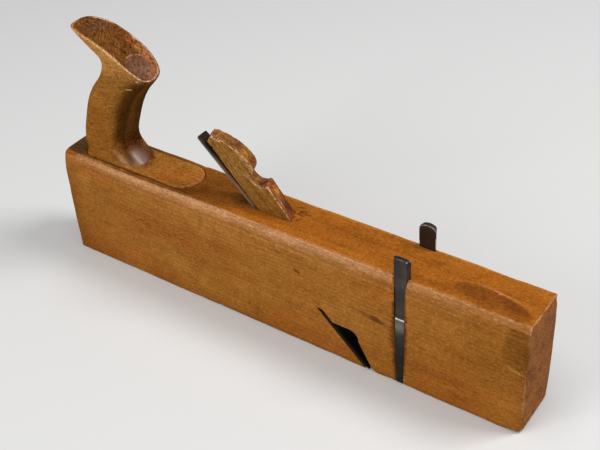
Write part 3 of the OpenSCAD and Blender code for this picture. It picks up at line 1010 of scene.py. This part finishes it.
@dataclass
class Tote:
    """The open handle with its round-nosed base, polished and darkened by hands, with shade and highlights painted
    about its hollow and foot.
    """

    body: str = "plane_body"
    slot: str = "beech_tote"
    grid: float = 0.7 * MM
    dish: float = 0.8 * MM
    facet_at: tuple[float, float, float] = (-0.1108, -0.003, 0.1756)
    facet_reach: float = 10.7 * MM
    glow_at: tuple[float, float, float] = (-0.1255, -0.005, 0.0962)
    glow_reach: float = 14 * MM

    def build(self, finish: BeechFinish) -> None:
        """Wears the handle and marks its crown, rim and facet, and the painted shade of its hollow and foot.

        Args:
            finish: the handle's finish.
        """
        worn = Worn("tote", self.grid, rounding=5)
        low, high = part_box("tote")
        facing = worn.normals()
        x, y, z = worn.places.T
        above = soft_step(z, low.z + 0.06, low.z + 0.075)
        beyond = soft_step(facing[:, 1], 0.1, 0.35)
        upward = soft_step(facing @ np.array((0.45, 0.0, 0.89)) - 0.1 * beyond, 0.68, 0.86)
        crown = worn.spread(upward * above, 2)
        spread_crown = worn.spread(crown, 6)
        inner = worn.spread(soft_step(spread_crown, 0.75, 1.0), 12)
        stand = worn.convexity()
        worn.wear(inner * self.dish + 0.06 * MM * (1.0 + worn.rough(14 * MM)))
        off = (worn.places - np.array(self.facet_at)) / self.facet_reach
        reach = np.linalg.norm(off, axis=1)
        behind = soft_step((off @ np.array((-0.6, 0.8, 0.0))) / np.maximum(reach, 0.01), -0.1, 0.5)
        facet = soft_step(reach, 1.05 + 0.2 * (1.0 - behind), 0.95 - 0.4 * (1.0 - behind))
        facet *= soft_step(crown, 0.4, 0.9)
        ring = np.exp(-((reach - 1.0) / 0.06) ** 2) * inner * behind
        beyond = soft_step(y, 0.0, 4 * MM)
        lip = soft_step(x, low.x + 0.045, low.x + 0.065)
        line = soft_step(4.0 * crown * (1.0 - crown), 0.5 - 0.15 * lip, 0.95) * above
        from_tip = soft_step(x, low.x + 0.012, low.x + 0.035)
        rim = line * (0.75 + 0.25 * lip) * (0.65 + 0.35 * from_tip) * (1.0 - beyond)
        far_line = soft_step(spread_crown, 0.4, 0.58) * soft_step(spread_crown, 0.92, 0.78) * above
        past_tip = soft_step(x, low.x + 0.008, low.x + 0.016)
        middle = soft_step(x, low.x + 0.022, low.x + 0.028) * soft_step(x, low.x + 0.046, low.x + 0.04)
        rim += far_line * beyond * past_tip * (0.9 - 0.6 * middle)
        tip = soft_step(stand, 0.05, 0.3) * above * (1.0 - beyond) * (1.0 - lip)
        upper = soft_step(z, low.z + 0.045, low.z + 0.065)
        # The hollow under the lip, where the mask carries painted shade.
        hollow = soft_step(facing[:, 0] + 0.15 * upper, -0.02, 0.68) * soft_step(facing[:, 2], 0.75, 0.3)
        hollow *= 1.0 - 0.6 * soft_step(z, low.z + 0.036, low.z + 0.024) * soft_step(-facing[:, 1], 0.3, 0.8)
        hollow *= 1.0 - 0.35 * soft_step(facing[:, 1], -0.45, -0.25) * soft_step(facing[:, 1], 0.1, -0.1)
        hollow *= soft_step(z, high.z - 0.018, high.z - 0.034)
        hollow *= soft_step(z, low.z + 0.012, low.z + 0.021 + 0.004 * soft_step(facing[:, 1], -0.7, -0.4))
        under = soft_step(z, low.z + 0.078, low.z + 0.096) * (1.0 - crown) * soft_step(-facing[:, 1], 0.2, 0.8)
        # The foot where the handle flares into its base, where the mask carries painted shade.
        foot = soft_step(facing[:, 0], 0.1, 0.4) * soft_step(z, low.z + 0.022, low.z + 0.014)
        foot *= soft_step(z, low.z + 0.0111, low.z + 0.012) * soft_step(facing[:, 1], -0.35, 0.05)
        nose = soft_step(stand, 0.2, 0.5) * soft_step(z, low.z + 0.02, low.z + 0.012)
        nose *= soft_step(x, high.x - 0.03, high.x - 0.008)
        off = np.linalg.norm(worn.places - np.array(self.glow_at), axis=1)
        shine = soft_step(off, self.glow_reach, 0.35 * self.glow_reach)
        shine *= soft_step(z, low.z + 0.0112, low.z + 0.0122)
        scored = crown * (1.0 - 0.6 * facet)
        mesh = worn.finish(crown=crown, scored=scored, facet=facet, ring=ring, rim=rim, tip=tip, hollow=hollow,
                           under=under, foot=foot, nose=nose, shine=shine)
        show("tote", mesh, self.body, finish)


@dataclass
class Wedge:
    """The wedge, its head bruised by the mallet."""

    body: str = "wedge"
    slot: str = "beech_wedge"
    grid: float = 0.45 * MM
    tilt_deg: float = 45.0
    head_length: float = 0.03
    bruise: float = 1.1 * MM

    def build(self, finish: BeechFinish) -> None:
        """Bruises the head and marks the worn edges, the head and the notch.

        Args:
            finish: the wedge's finish.
        """
        worn = Worn("wedge", self.grid, self.tilt_deg, rounding=4)
        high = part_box("wedge")[1]
        up = (worn.places[:, 2] - worn.places[:, 0]) / math.sqrt(2.0)
        head = soft_step(up, up.max() - self.head_length, up.max() - 0.3 * self.head_length)
        facing = worn.normals()
        stand = np.clip(worn.convexity(), 0.0, 1.0)
        chips = soft_step(worn.rough(5 * MM, 3, 7.0), 0.0, 0.5)
        shown = soft_step(worn.places[:, 2], 0.088, 0.094)
        struck = soft_step(worn.places[:, 0], -0.034, -0.045) * head
        broad = worn.spread(soft_step(stand, 0.15, 0.4) * struck, 30)
        broad *= soft_step(worn.rough(3 * MM, 3, 3.0), -0.6, 0.6) / broad.max()
        depth = 0.05 * MM + shown * (0.05 * MM * (1.0 + worn.rough(9 * MM)))
        away = soft_step(facing[:, 0] + facing[:, 2], -0.2, 0.3)
        chipped = chips * soft_step(stand, 0.1, 0.5) * (0.15 * shown + 0.22 * head) * (0.15 + 0.85 * away)
        worn.wear(depth + self.bruise * (chipped + 1.1 * broad))
        stand = worn.convexity(1)
        forward = soft_step(facing[:, 0] + facing[:, 2], 0.5, 0.9)
        top = forward * soft_step(worn.places[:, 2], high.z - 0.016, high.z - 0.01)
        peak = forward * soft_step(worn.places[:, 0], -0.012, -0.009)
        edge = soft_step(stand, 0.3, 0.62) * shown * (0.3 + 0.7 * away)
        show("wedge", worn.finish(edge=edge, head=top, struck=broad, peak=peak), self.body, finish)


@dataclass
class Cutter:
    """A forged cutter: the iron with its tang, or one of the nickers.

    Attributes:
        node: the CAD node that it stands for; its body has the same name.
        slot: the record's material slot; not used.
        grid: the spacing of its points.
        tilt_deg: the turn about Y that lays it along the grid.
        struck: how far down from its top the hammer has marked it.
        step_highlight: 1 where its outer face has a step that is painted with a highlight, otherwise 0.
        bed_normal: the direction off the bed that a tilted cutter lies on.
    """

    node: str
    slot: str
    grid: float
    tilt_deg: float = 0.0
    struck: float = 6 * MM
    step_highlight: int = 0
    bed_normal: tuple[float, float, float] = (0.68, 0.27, 0.68)

    def build(self, finish: SteelFinish) -> None:
        """Wears the cutter, bruises its struck end and marks its rubbed edges and painted highlights.

        Args:
            finish: its finish.
        """
        worn = Worn(self.node, self.grid, self.tilt_deg, rounding=3, skin=0.02 * MM)
        top = worn.places[:, 2].max()
        hit = soft_step(worn.places[:, 2], top - self.struck, top - 0.3 * self.struck)
        stand = np.clip(worn.convexity(2), 0.0, 1.0)
        worn.wear(0.03 * MM * (1.0 + worn.rough(4 * MM)) + 0.25 * MM * hit * stand * (1.0 + worn.rough(3 * MM)))
        upright = worn.normals()[:, 2]
        # The upward face of a nicker's step is painted bright as a highlight.
        step = soft_step(upright, 0.3, 0.55) * soft_step(worn.places[:, 2], 0.062, 0.06) * self.step_highlight
        edge = soft_step(stand, 0.35, 0.75) * (0.2 + 0.7 * soft_step(worn.places[:, 2], 0.088, 0.096))
        # On the tilted iron, the edge mask is mostly a light line along the back arris of its side faces above the
        # stock: a painted highlight.
        if self.tilt_deg:
            off_bed = worn.places @ np.array(self.bed_normal)
            off_bed -= off_bed.min()
            line = soft_step(off_bed, 2.1 * MM, 1.1 * MM) * soft_step(np.abs(worn.normals()[:, 1]), 0.4, 0.7)
            edge = np.maximum(0.35 * edge, line * soft_step(worn.places[:, 2], 0.088, 0.092))
        show(self.node, worn.finish(edge=np.maximum(edge, step)), self.node, finish)


def stock_finish(size: Vector) -> BeechFinish:
    """Returns the block's finish: golden beech with a pale worn band, its stains, and painted shade and
    highlights.

    Args:
        size: the block's length, width and height.

    Returns:
        The finish.
    """
    near, far, top, thin = -20.0, 20.0, 92.0, 1.1
    # light is the tone of the painted highlight under the scooped patch at the toe.
    light, dark = (0.6, 0.3, 0.08), (0.07, 0.02, 0.004)
    cracks = tuple(
        Mark((x, y, top), (reach, 1.2, thin), dark, 0.75, 0.8, (0.0, 0.0, turn), 0.5)
        for x, y, reach, turn in (
            (6.5, 10.5, 5.0, 20.0), (10.8, 7.6, 4.5, 12.0), (14.2, 5.8, 5.0, 8.0), (12.0, 3.4, 3.6, 4.0),
            (9.4, 5.2, 4.6, 75.0), (12.8, -1.0, 5.0, 60.0),
        )
    )
    return BeechFinish(
        name="beech_stock", pale=(0.355, 0.134, 0.019), reddish=(0.33, 0.106, 0.013), end=(0.27, 0.09, 0.017),
        gloss=0.03, fleck_share=0.2, contrast=1.15,
        easing=Easing((size.x / 2, size.y / 2, size.z), 12 * MM, 2.2 * MM, (0.55, 0.27, 0.115), (0.6, 0.32, 0.16)),
        marks=(
            Mark((40.0, 0.0, top), (260.0, 60.0, thin), (0.29, 0.083, 0.007), 0.7, 0.3),
            Mark((40.0, 17.2, top), (230.0, 2.6, 2.5), (0.44, 0.18, 0.025), 0.6, 0.8),
            Mark((75.0, -11.0, top), (42.0, 4.0, thin), (0.36, 0.125, 0.012), 0.5, 0.9, (0.0, 0.0, 3.0), 0.9),
            Mark((120.0, -13.5, top), (30.0, 4.0, thin), (0.22, 0.058, 0.006), 0.6, 0.9, ragged=0.9),
            Mark((-110.0, 0.0, top), (105.0, 40.0, thin), (0.14, 0.045, 0.006), 0.75, 0.6, ragged=0.9),
            # painted shadow of the handle on the heel's top
            Mark((-182.0, -9.0, top), (17.0, 20.0, thin), (0.08, 0.042, 0.017), 0.85, 0.7, ragged=0.9),
            Mark((-190.0, -19.0, 84.0), (6.0, 5.0, 10.0), (0.33, 0.09, 0.012), 0.8, 0.8),
            Mark((60.0, 2.0, top), (45.0, 9.0, thin), (0.2, 0.06, 0.008), 0.4, 0.9, (0.0, 0.0, 4.0), 0.9),
            Mark((160.5, 0.2, top), (31.0, 1.5, thin), (0.5, 0.23, 0.06), 0.4, 0.7, (0.0, 0.0, -8.0), 0.9),
            Mark((160.0, -9.4, top), (30.0, 9.9, thin), (0.16, 0.045, 0.007), 0.75, 0.14, (0.0, 0.0, -8.0), 0.12,
                 fade=0.6),
            Mark((146.0, -5.5, top), (13.0, 8.0, thin), (0.1, 0.034, 0.006), 0.35, 0.9, ragged=1.0),
            Mark((172.5, -7.0, top), (15.0, 4.0, thin), (0.14, 0.038, 0.009), 0.6, 0.6, (0.0, 0.0, -10.0)),
            Mark((160.9, -0.6, top), (2.2, 1.0, thin), (0.42, 0.2, 0.12), 0.6, 0.7),
            Mark((189.2, -2.6, top), (2.8, 2.6, 2.0), (0.19, 0.1, 0.03), 0.75, 0.6),
            Mark((83.5, near, 49.4), (10.0, 3.0, 3.2), (0.06, 0.014, 0.003), 0.95, 0.7, (0.0, 13.0, 0.0), 0.6),
            Mark((77.0, near, 49.8), (18.0, 3.0, 3.6), (0.13, 0.034, 0.006), 0.75, 0.9, (0.0, 10.0, 0.0), 1.2),
            Mark((21.8, near, 64.2), (4.5, 3.0, 1.7), (0.08, 0.022, 0.004), 0.85, 0.6, (0.0, 30.0, 0.0)),
            Mark((118.0, near, 40.5), (5.5, 3.0, 2.0), (0.14, 0.04, 0.005), 0.6, 0.9),
            Mark((185.0, near, 71.0), (12.0, 1.8, 17.5), (0.165, 0.06, 0.005), 0.7, 0.15, (0.0, 8.0, 0.0), 0.2,
                 spread=Spread.SQUARE),
            Mark((190.0, near, 68.0), (4.5, 1.8, 14.0), (0.1, 0.035, 0.003), 0.6, 0.8, ragged=0.3),
            # painted highlight along the ridge under the scooped patch at the toe
            Mark((182.5, near, 53.3), (8.0, 1.6, 1.5), light, 0.85, 0.7, (0.0, 14.0, 0.0), 0.5),
            Mark((-185.0, near, 4.0), (60.0, 3.0, 34.0), (0.25, 0.072, 0.006), 0.7, 0.9),
            Mark((-194.0, near, 36.0), (25.0, 3.0, 70.0), (0.2, 0.066, 0.006), 0.75, 0.9),
            Mark((-158.0, near, 40.0), (36.0, 3.0, 34.0), (0.29, 0.098, 0.011), 0.4, 0.9),
            Mark((62.0, near, 34.0), (70.0, 3.0, 30.0), (0.42, 0.18, 0.035), 0.4, 1.0),
            Mark((146.0, near, 74.0), (26.0, 3.0, 12.0), (0.42, 0.18, 0.03), 0.4, 1.0),
            Mark((-95.0, near, 28.0), (60.0, 3.0, 26.0), (0.42, 0.19, 0.035), 0.4, 1.0),
            Mark((0.0, near, 80.3), (300.0, 3.0, 2.6), (0.48, 0.22, 0.06), 0.45, 0.9, ragged=1.2),
            # painted shade in the gap along the near edge of the handle's base plate
            Mark((-122.0, -15.0, top), (86.0, 1.5, thin), (0.05, 0.015, 0.003), 0.85, 0.8, ragged=0.6),
            Mark((-122.0, -17.9, 91.5), (86.0, 1.3, 1.5), (0.1, 0.032, 0.005), 0.8, 0.8, ragged=0.6),
            # painted shadow on the top beside the iron
            Mark((-32.5, -4.0, top), (14.0, 7.5, thin), (0.07, 0.042, 0.014), 0.75, 0.9, ragged=0.6),
            Mark((193.0, near, 40.0), (16.0, 3.0, 60.0), (0.22, 0.076, 0.011), 0.5, 0.9),
            Mark((-60.0, near, 72.0), (150.0, 3.0, 18.0), (0.43, 0.185, 0.035), 0.5, 1.0),
            Mark((165.0, near, 52.0), (34.0, 3.0, 40.0), (0.28, 0.095, 0.011), 0.6, 0.9),
            Mark((94.8, near, 40.0), (3.0, 1.5, 16.0), (0.12, 0.035, 0.005), 0.6, 0.9, ragged=1.3),
            # painted shade at both sides of the nickers in their grooves
            Mark((101.2, near, 45.0), (6.8, 1.5, 60.0), (0.08, 0.024, 0.004), 0.85, 0.4, (0.0, 0.5, 0.0), 0.8),
            Mark((101.5, far, 45.0), (6.0, 1.5, 60.0), (0.09, 0.027, 0.005), 0.8, 0.4, ragged=0.7),
            Mark((52.0, far, 22.0), (34.0, 3.0, 24.0), (0.2, 0.066, 0.009), 0.6, 0.9, ragged=0.9),
            Mark((-70.0, far, 58.0), (70.0, 3.0, 24.0), (0.4, 0.17, 0.035), 0.5, 1.0, ragged=0.9),
            Mark((150.0, far, 30.0), (40.0, 3.0, 30.0), (0.24, 0.07, 0.006), 0.5, 0.9),
            Mark((-28.0, far, 38.0), (9.0, 3.0, 1.6), dark, 0.75, 0.7, (0.0, -9.0, 0.0), 0.9),
            Mark((-120.0, far, 71.0), (12.0, 3.0, 1.8), (0.1, 0.03, 0.005), 0.7, 0.8, (0.0, 6.0, 0.0), 1.0),
            Mark((0.0, near, 0.0), (230.0, 3.0, 4.0), (0.2, 0.055, 0.005), 0.5, 0.9),
        ) + cracks,
    )


TOTE_BEECH = BeechFinish(
    name="beech_tote", pale=(0.315, 0.136, 0.026), reddish=(0.275, 0.1, 0.016), end=(0.17, 0.045, 0.008),
    turn_deg=15.0, pith=(0.0, 0.05, 0.1), end_from=0.72, roughness=0.36, gloss=0.0, coat=0.8, shine="shine",
    contrast=1.2, scored="scored", score=2.1,
    layers=(
        Layer("crown", (0.11, 0.036, 0.009), 0.9, 0.35, 0.9),
        Layer("facet", (0.165, 0.078, 0.05), 0.6, 0.8, 1.0),
        Layer("ring", (0.36, 0.16, 0.08), 0.65, 0.5),
        # painted shade in the hollow under the lip
        Layer("hollow", (0.056, 0.0185, 0.004), 0.88, 0.12, 1.0),
        Layer("under", (0.48, 0.22, 0.06), 0.6, 0.3, 0.9),
        Layer("tip", (0.5, 0.23, 0.06), 0.6, 0.35, 0.9),
        # painted shade where the handle flares into its base
        Layer("foot", (0.1, 0.03, 0.012), 0.75, 0.2, 1.0),
        Layer("rim", (0.64, 0.4, 0.25), 0.85, 0.35, 0.8),
        Layer("nose", (0.5, 0.24, 0.08), 0.45, 0.8),
    ),
    marks=(
        Mark((-152.0, 1.0, 195.0), (15.0, 14.0, 8.0), (0.14, 0.057, 0.034), 0.5, 0.9),
        Mark((-167.0, -3.0, 195.0), (8.0, 9.0, 8.0), (0.2, 0.085, 0.032), 0.5, 0.9),
        Mark((-114.0, 9.5, 179.0), (30.0, 6.0, 18.0), (0.34, 0.125, 0.045), 0.75, 0.9, (0.0, 0.0, -8.0)),
        Mark((-103.0, 3.5, 169.0), (9.0, 12.0, 9.0), (0.3, 0.12, 0.055), 0.65, 0.8),
        # painted highlight in the worn facet
        Mark((-108.5, -1.0, 174.0), (5.0, 6.0, 5.0), (0.28, 0.18, 0.13), 0.2, 0.9, ragged=1.5),
        Mark((-107.2, -11.4, 169.0), (1.6, 1.5, 0.8), (0.7, 0.5, 0.3), 0.8, 0.5),
        Mark((-114.0, -13.0, 161.8), (4.0, 1.5, 0.8), (0.6, 0.35, 0.16), 0.8, 0.5, ragged=1.2),
        Mark((-95.0, 0.0, 91.8), (62.0, 24.0, 3.0), (0.305, 0.088, 0.012), 0.75, 0.9),
        Mark((-122.5, -2.0, 91.8), (10.0, 12.5, 3.0), (0.11, 0.036, 0.01), 0.7, 0.6),
        # painted highlight: a pale halo where the polish shines at the foot
        Mark((-125.7, -5.3, 96.6), (10.5, 10.5, 10.5), (0.17, 0.1, 0.075), 0.6, 1.0, ragged=0.2),
        # painted shade around the foot's highlight and in the crease beside it
        Mark((-130.0, 2.0, 102.3), (8.0, 8.0, 7.0), (0.07, 0.03, 0.014), 0.75, 1.0, ragged=0.3),
        Mark((-131.0, -6.0, 104.5), (4.5, 4.5, 5.0), (0.09, 0.036, 0.014), 0.6, 1.0, ragged=0.3),
        Mark((-130.0, -9.6, 99.5), (4.6, 4.0, 13.0), (0.07, 0.026, 0.008), 0.85, 0.9, (0.0, -29.0, 0.0)),
        # painted reflection along the lower near edge of the foot
        Mark((-135.0, -12.8, 98.7), (11.0, 4.0, 3.1), (0.42, 0.21, 0.12), 0.7, 0.9, (0.0, 45.0, 0.0), 0.7),
        # painted shade where the foot meets its base on the far side
        Mark((-121.8, 4.8, 93.8), (4.5, 5.0, 3.0), (0.12, 0.018, 0.007), 0.75, 0.8),
        Mark((-128.3, 8.2, 187.0), (8.0, 3.6, 5.0), (0.36, 0.085, 0.03), 0.6, 1.0, ragged=0.6),
        Mark((-121.2, 7.8, 183.3), (5.0, 4.0, 5.0), (0.4, 0.19, 0.04), 0.5, 1.0, ragged=0.6),
        Mark((-138.0, -3.0, 190.0), (26.0, 9.0, 12.0), (0.17, 0.068, 0.014), 0.5, 1.0, ragged=0.9),
    ),
)
WEDGE_BEECH = BeechFinish(
    name="beech_wedge", pale=(0.28, 0.13, 0.028), reddish=(0.25, 0.1, 0.017), end=(0.24, 0.09, 0.03),
    turn_deg=-45.0, pith=(0.0, 0.04, 0.2), roughness=0.6, gloss=0.02, contrast=1.35, lines=1.15, scored="head",
    layers=(
        Layer("head", (0.19, 0.08, 0.024), 0.7, 0.6),
        Layer("peak", (0.22, 0.055, 0.015), 0.8, 0.5),
        Layer("edge", (0.62, 0.34, 0.16), 0.85, 0.3, 0.8),
        Layer("struck", (0.32, 0.15, 0.05), 0.6, 0.9, 0.6),
    ),
    marks=(
        Mark((-35.0, 1.0, 135.5), (6.0, 6.0, 5.0), (0.11, 0.028, 0.018), 0.8, 1.0, ragged=0.8),
        Mark((-28.0, 0.0, 131.5), (6.5, 7.0, 5.5), (0.46, 0.19, 0.03), 0.8, 1.0, ragged=0.8),
        Mark((-21.5, 0.0, 126.0), (4.0, 7.0, 6.0), (0.25, 0.06, 0.015), 0.8, 1.0, ragged=0.8),
        Mark((-24.0, 0.0, 114.0), (5.0, 9.0, 5.0), (0.2, 0.075, 0.03), 0.7, 0.8),
        Mark((-14.5, 0.0, 111.5), (8.0, 9.0, 3.0), (0.075, 0.02, 0.013), 0.85, 0.8, ragged=0.5),
        Mark((-6.3, 1.5, 108.0), (5.5, 6.0, 5.5), (0.52, 0.22, 0.04), 0.85, 1.0, ragged=0.8),
        Mark((3.0, 2.0, 98.0), (8.0, 5.0, 10.0), (0.075, 0.022, 0.012), 0.8, 0.9, ragged=1.1),
        Mark((-2.5, -3.0, 102.6), (10.0, 1.6, 4.0), (0.6, 0.33, 0.14), 0.6, 0.8, (0.0, 45.0, 0.0), 0.9),
        Mark((-24.0, -5.8, 127.0), (22.0, 3.0, 2.2), (0.5, 0.27, 0.11), 0.6, 0.9, (0.0, 45.0, 0.0), 0.8),
        Mark((-20.0, -5.8, 114.0), (14.0, 3.0, 2.0), (0.5, 0.27, 0.11), 0.5, 0.9, (0.0, 32.0, 0.0), 0.8),
    ),
)
BLADE_STEEL = SteelFinish(
    name="blade_steel", dark=(0.027, 0.016, 0.01), rubbed=(0.09, 0.064, 0.047), rust=(0.07, 0.03, 0.014),
    bright=(0.2, 0.18, 0.155), metallic=0.25, gloss=0.1, roughness=0.6,
    marks=(
        # the blade down in the throat: dark rust, deepened to near black as painted shade
        Mark((40.0, 0.0, 20.0), (60.0, 60.0, 48.0), (0.01, 0.006, 0.004), 0.95, 0.3),
        # painted reflection: lighter brown on the tang's near side, over its patina
        Mark((-36.0, -5.0, 109.0), (27.0, 5.0, 8.0), (0.15, 0.082, 0.04), 0.9, 0.35, (0.0, 45.0, 0.0), 0.3),
        Mark((-28.0, -5.0, 101.0), (16.0, 5.0, 8.0), (0.24, 0.125, 0.06), 0.8, 0.6, (0.0, 45.0, 0.0), 0.5),
    ),
)
NICKER_STEEL = SteelFinish(
    name="nicker_steel", dark=(0.046, 0.038, 0.031), rubbed=(0.13, 0.112, 0.095), rust=(0.055, 0.034, 0.021),
    marks=(
        Mark((101.5, 0.0, 15.0), (20.0, 60.0, 33.0), (0.016, 0.012, 0.009), 0.8, 0.6),
        # painted highlight just below the near nicker's step
        Mark((101.5, -20.0, 52.0), (10.0, 5.0, 8.0), (0.25, 0.23, 0.2), 0.7, 0.9),
        Mark((101.5, 17.0, 100.0), (10.0, 3.0, 14.0), (0.056, 0.031, 0.014), 0.8, 0.4, ragged=1.0),
    ),
)


@dataclass
class Studio:
    """The pale floor, the soft lights and the camera."""

    floor_size: float = 14.0
    floor_tone: Colour = (0.7, 0.7, 0.69)
    air_tone: Colour = (0.9, 0.92, 0.95)
    air_strength: float = 0.22
    view_azimuth_deg: float = 36.835
    view_elevation_deg: float = 37.72
    view_roll_deg: float = -4.048
    view_from: Vector = field(default_factory=lambda: Vector((0.36445, -0.46976, 0.54052)))
    focal_mm: float = 65.98
    sensor_mm: float = 36.0

    def build_floor(self) -> None:
        """Makes the floor."""
        half = self.floor_size / 2
        mesh = bpy.data.meshes.new("floor")
        corners = [(-half, -half, 0), (half, -half, 0), (half, half, 0), (-half, half, 0)]
        mesh.from_pydata(corners, [], [(0, 1, 2, 3)])
        floor = bpy.data.objects.new("floor", mesh)
        bpy.context.scene.collection.objects.link(floor)
        material = bpy.data.materials.new("floor_paper")
        material.use_nodes = True
        shader = material.node_tree.nodes["Principled BSDF"]
        shader.inputs["Base Color"].default_value = (*self.floor_tone, 1.0)
        shader.inputs["Roughness"].default_value = 0.85
        mesh.materials.append(material)

    def build_light(self, name: str, place: Vector, size: float, power: float, aim: Vector) -> None:
        """Adds one soft box.

        Args:
            name: the light's name.
            place: its middle.
            size: the length of its sides.
            power: its power in watts.
            aim: the point that it faces.
        """
        light = bpy.data.lights.new(name, "AREA")
        light.shape = "SQUARE"
        light.size = size
        light.energy = power
        obj = bpy.data.objects.new(name, light)
        obj.location = place
        obj.rotation_euler = (aim - place).to_track_quat("-Z", "Y").to_euler()
        bpy.context.scene.collection.objects.link(obj)

    def build_lights(self) -> None:
        """Lights the plane from above, from the toe's end and from the left of the camera."""
        aim = Vector((0.0, 0.0, 0.05))
        self.build_light("overhead", Vector((0.0, -0.4, 1.8)), 1.0, 12.5, aim)
        self.build_light("toe_key", Vector((0.95, 0.5, 1.6)), 0.6, 20.5, aim)
        self.build_light("left_front", Vector((-0.9, -2.0, 1.1)), 1.2, 21.5, aim)
        world = bpy.data.worlds.new("air")
        world.use_nodes = True
        background = world.node_tree.nodes["Background"]
        background.inputs["Color"].default_value = (*self.air_tone, 1.0)
        background.inputs["Strength"].default_value = self.air_strength
        bpy.context.scene.world = world
        bpy.context.scene.view_settings.view_transform = "Standard"

    def build_camera(self) -> None:
        """Puts the camera where the photograph was taken from."""
        azimuth, elevation, roll = (
            math.radians(a) for a in (self.view_azimuth_deg, self.view_elevation_deg, self.view_roll_deg)
        )
        back = Vector((
            math.sin(azimuth) * math.cos(elevation), -math.cos(azimuth) * math.cos(elevation), math.sin(elevation),
        ))
        level = Vector((math.cos(azimuth), math.sin(azimuth), 0.0))
        right = level * math.cos(roll) + back.cross(level) * math.sin(roll)
        up = back.cross(right)
        camera = bpy.data.cameras.new("camera")
        camera.lens = self.focal_mm
        camera.sensor_width = self.sensor_mm
        obj = bpy.data.objects.new("camera", camera)
        obj.matrix_world = Matrix.Translation(self.view_from) @ Matrix((right, up, back)).transposed().to_4x4()
        bpy.context.scene.collection.objects.link(obj)
        bpy.context.scene.camera = obj

    def build(self) -> None:
        """Builds the floor, the lights and the camera."""
        self.build_floor()
        self.build_lights()
        self.build_camera()
        log.info("studio built")


def main() -> None:
    """Builds and dresses the plane, piece by piece."""
    logging.basicConfig(level=logging.INFO, format="%(message)s")
    Studio().build()
    beech_grain_group()
    handling_group()
    broken_edge_group()
    stock = Stock()
    stock.build(stock_finish(stock.size()))
    Tote().build(TOTE_BEECH)
    Wedge().build(WEDGE_BEECH)
    Cutter("iron", "blade_steel", 0.45 * MM, 45.0).build(BLADE_STEEL)
    Cutter("nicker_right", "nicker_steel", 0.3 * MM, step_highlight=1).build(NICKER_STEEL)
    Cutter("nicker_left", "nicker_steel", 0.3 * MM, step_highlight=1).build(NICKER_STEEL)


if __name__ == "__main__":
    main()
